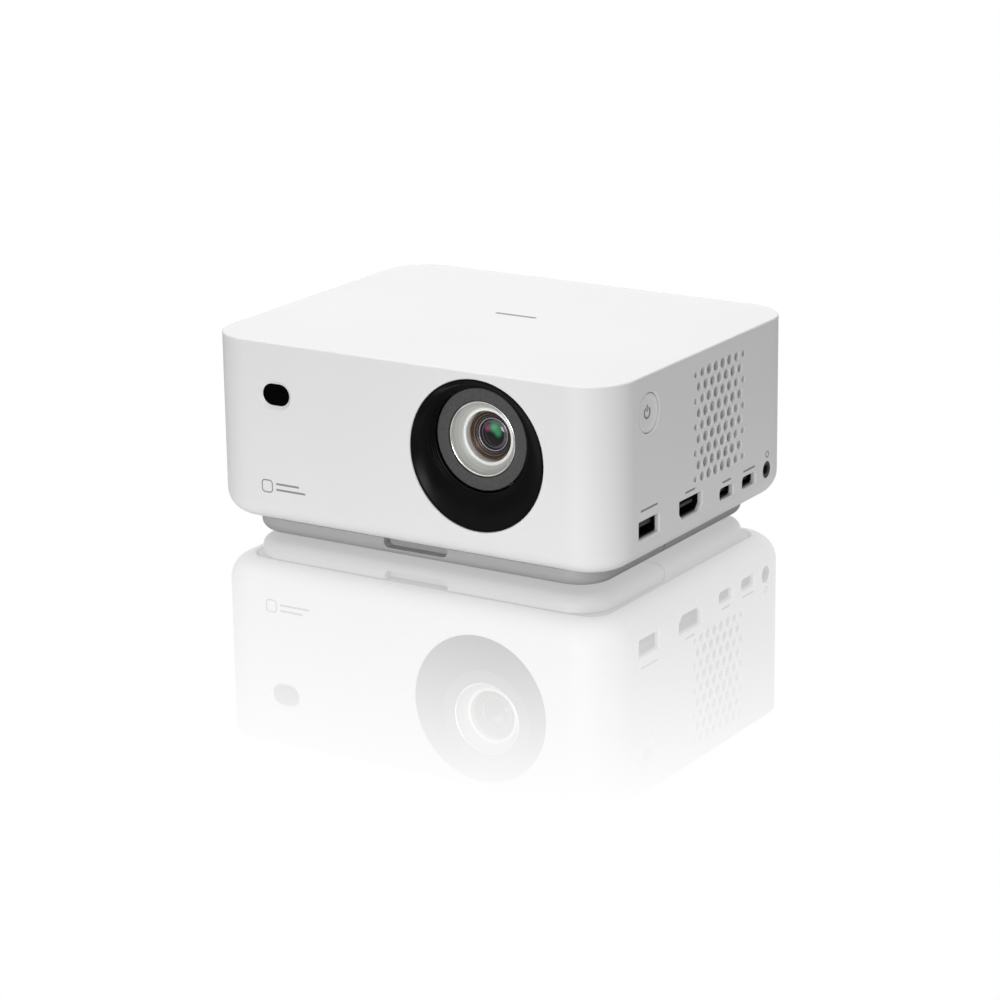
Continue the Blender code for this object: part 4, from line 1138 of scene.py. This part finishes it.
# Inside. What shows only through the vents and the lens keeps its CAD shape: extruded aluminium sinks, copper
# pipes, fibreglass boards, a black-painted magnesium engine and nylon fan, each in its own finish.
inner_looks = {}
for name, light, dark, metallic, roughness, spacing, depth in (
    ("extruded_aluminium", "#C8CACC", "#AEB0B3", 1.0, 0.38, 0.5, 0.15),
    ("drawn_copper", "#D08A62", "#A8613F", 1.0, 0.32, 0.9, 0.05),
    ("turned_brass", "#C9A65A", "#A98540", 1.0, 0.3, 0.5, 0.05),
    ("zinc_plated_steel", "#B9BCC0", "#9A9DA2", 1.0, 0.34, 0.6, 0.05),
    ("painted_magnesium", "#2A2A2D", "#1C1C1F", 0.0, 0.6, 0.5, 0.2),
    ("green_solder_mask", "#12502C", "#0A3A1E", 0.0, 0.35, 1.2, 0.3),
    ("pulp_speaker_cone", "#2C2B2A", "#1E1D1C", 0.0, 0.85, 0.8, 0.4),
):
    made, tree, place = new_material(name)
    if name == "green_solder_mask":
        # Buried tracks, 0.2 mm wide on a real board, drawn as a 1.2 mm mesh of runs.
        brick = add(tree, "ShaderNodeTexBrick", {"Scale": 1 / mm(4.0), "Mortar Size": 0.03}, {"Vector": place})
        pattern = brick.outputs["Fac"]
    else:
        pattern = noise(tree, place, mm(spacing), 4.0)
    tone = blend(tree, light, dark, pattern)
    bumps = relief(tree, depth, pattern)
    finish_material(tree, {"Metallic": metallic, "Roughness": roughness}, {"Base Color": tone, "Normal": bumps})
    inner_looks[name] = made

lens_glass, tree, place = new_material("polished_crown_glass")
bloom = noise(tree, place, mm(6.0))
tone = blend(tree, "#DCEBE4", "#E4E0EC", bloom)
finish_material(tree, {"Roughness": 0.02, "IOR": 1.52, "Transmission Weight": 0.95}, {"Base Color": tone})

for look, names in (
    (inner_looks["extruded_aluminium"], ("laser_heat_sink", "chip_heat_sink", "processor_heat_sink", "engine_lid")),
    (inner_looks["drawn_copper"], ("heat_pipe_front", "heat_pipe_rear")),
    (inner_looks["turned_brass"], ("laser_module", "focus_pinion", "tripod_insert")),
    (
        inner_looks["zinc_plated_steel"],
        (
            "focus_motor",
            "engine_bracket",
            "fold_mirror",
            "hinge_pin_left",
            "hinge_pin_right",
            "screw_front_left",
            "screw_front_right",
            "screw_rear_left",
            "screw_rear_right",
        ),
    ),
    (inner_looks["painted_magnesium"], ("engine_housing",)),
    (
        inner_looks["green_solder_mask"],
        ("main_board", "imaging_board", "laser_board", "button_board", "sensor_board"),
    ),
    (inner_looks["pulp_speaker_cone"], ("speaker_cone",)),
    (
        nylon,
        (
            "fan_frame",
            "fan_rotor",
            "lens_mount",
            "focus_camera",
            "tact_switch",
            "processor",
            "imaging_chip",
            "speaker_box",
        ),
    ),
    (satin_grey, ("focus_ring",)),
    (lens_glass, ("middle_lens", "rear_lens", "light_prism")),
):
    for name in names:
        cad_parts[name].data.materials.clear()
        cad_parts[name].data.materials.append(look)
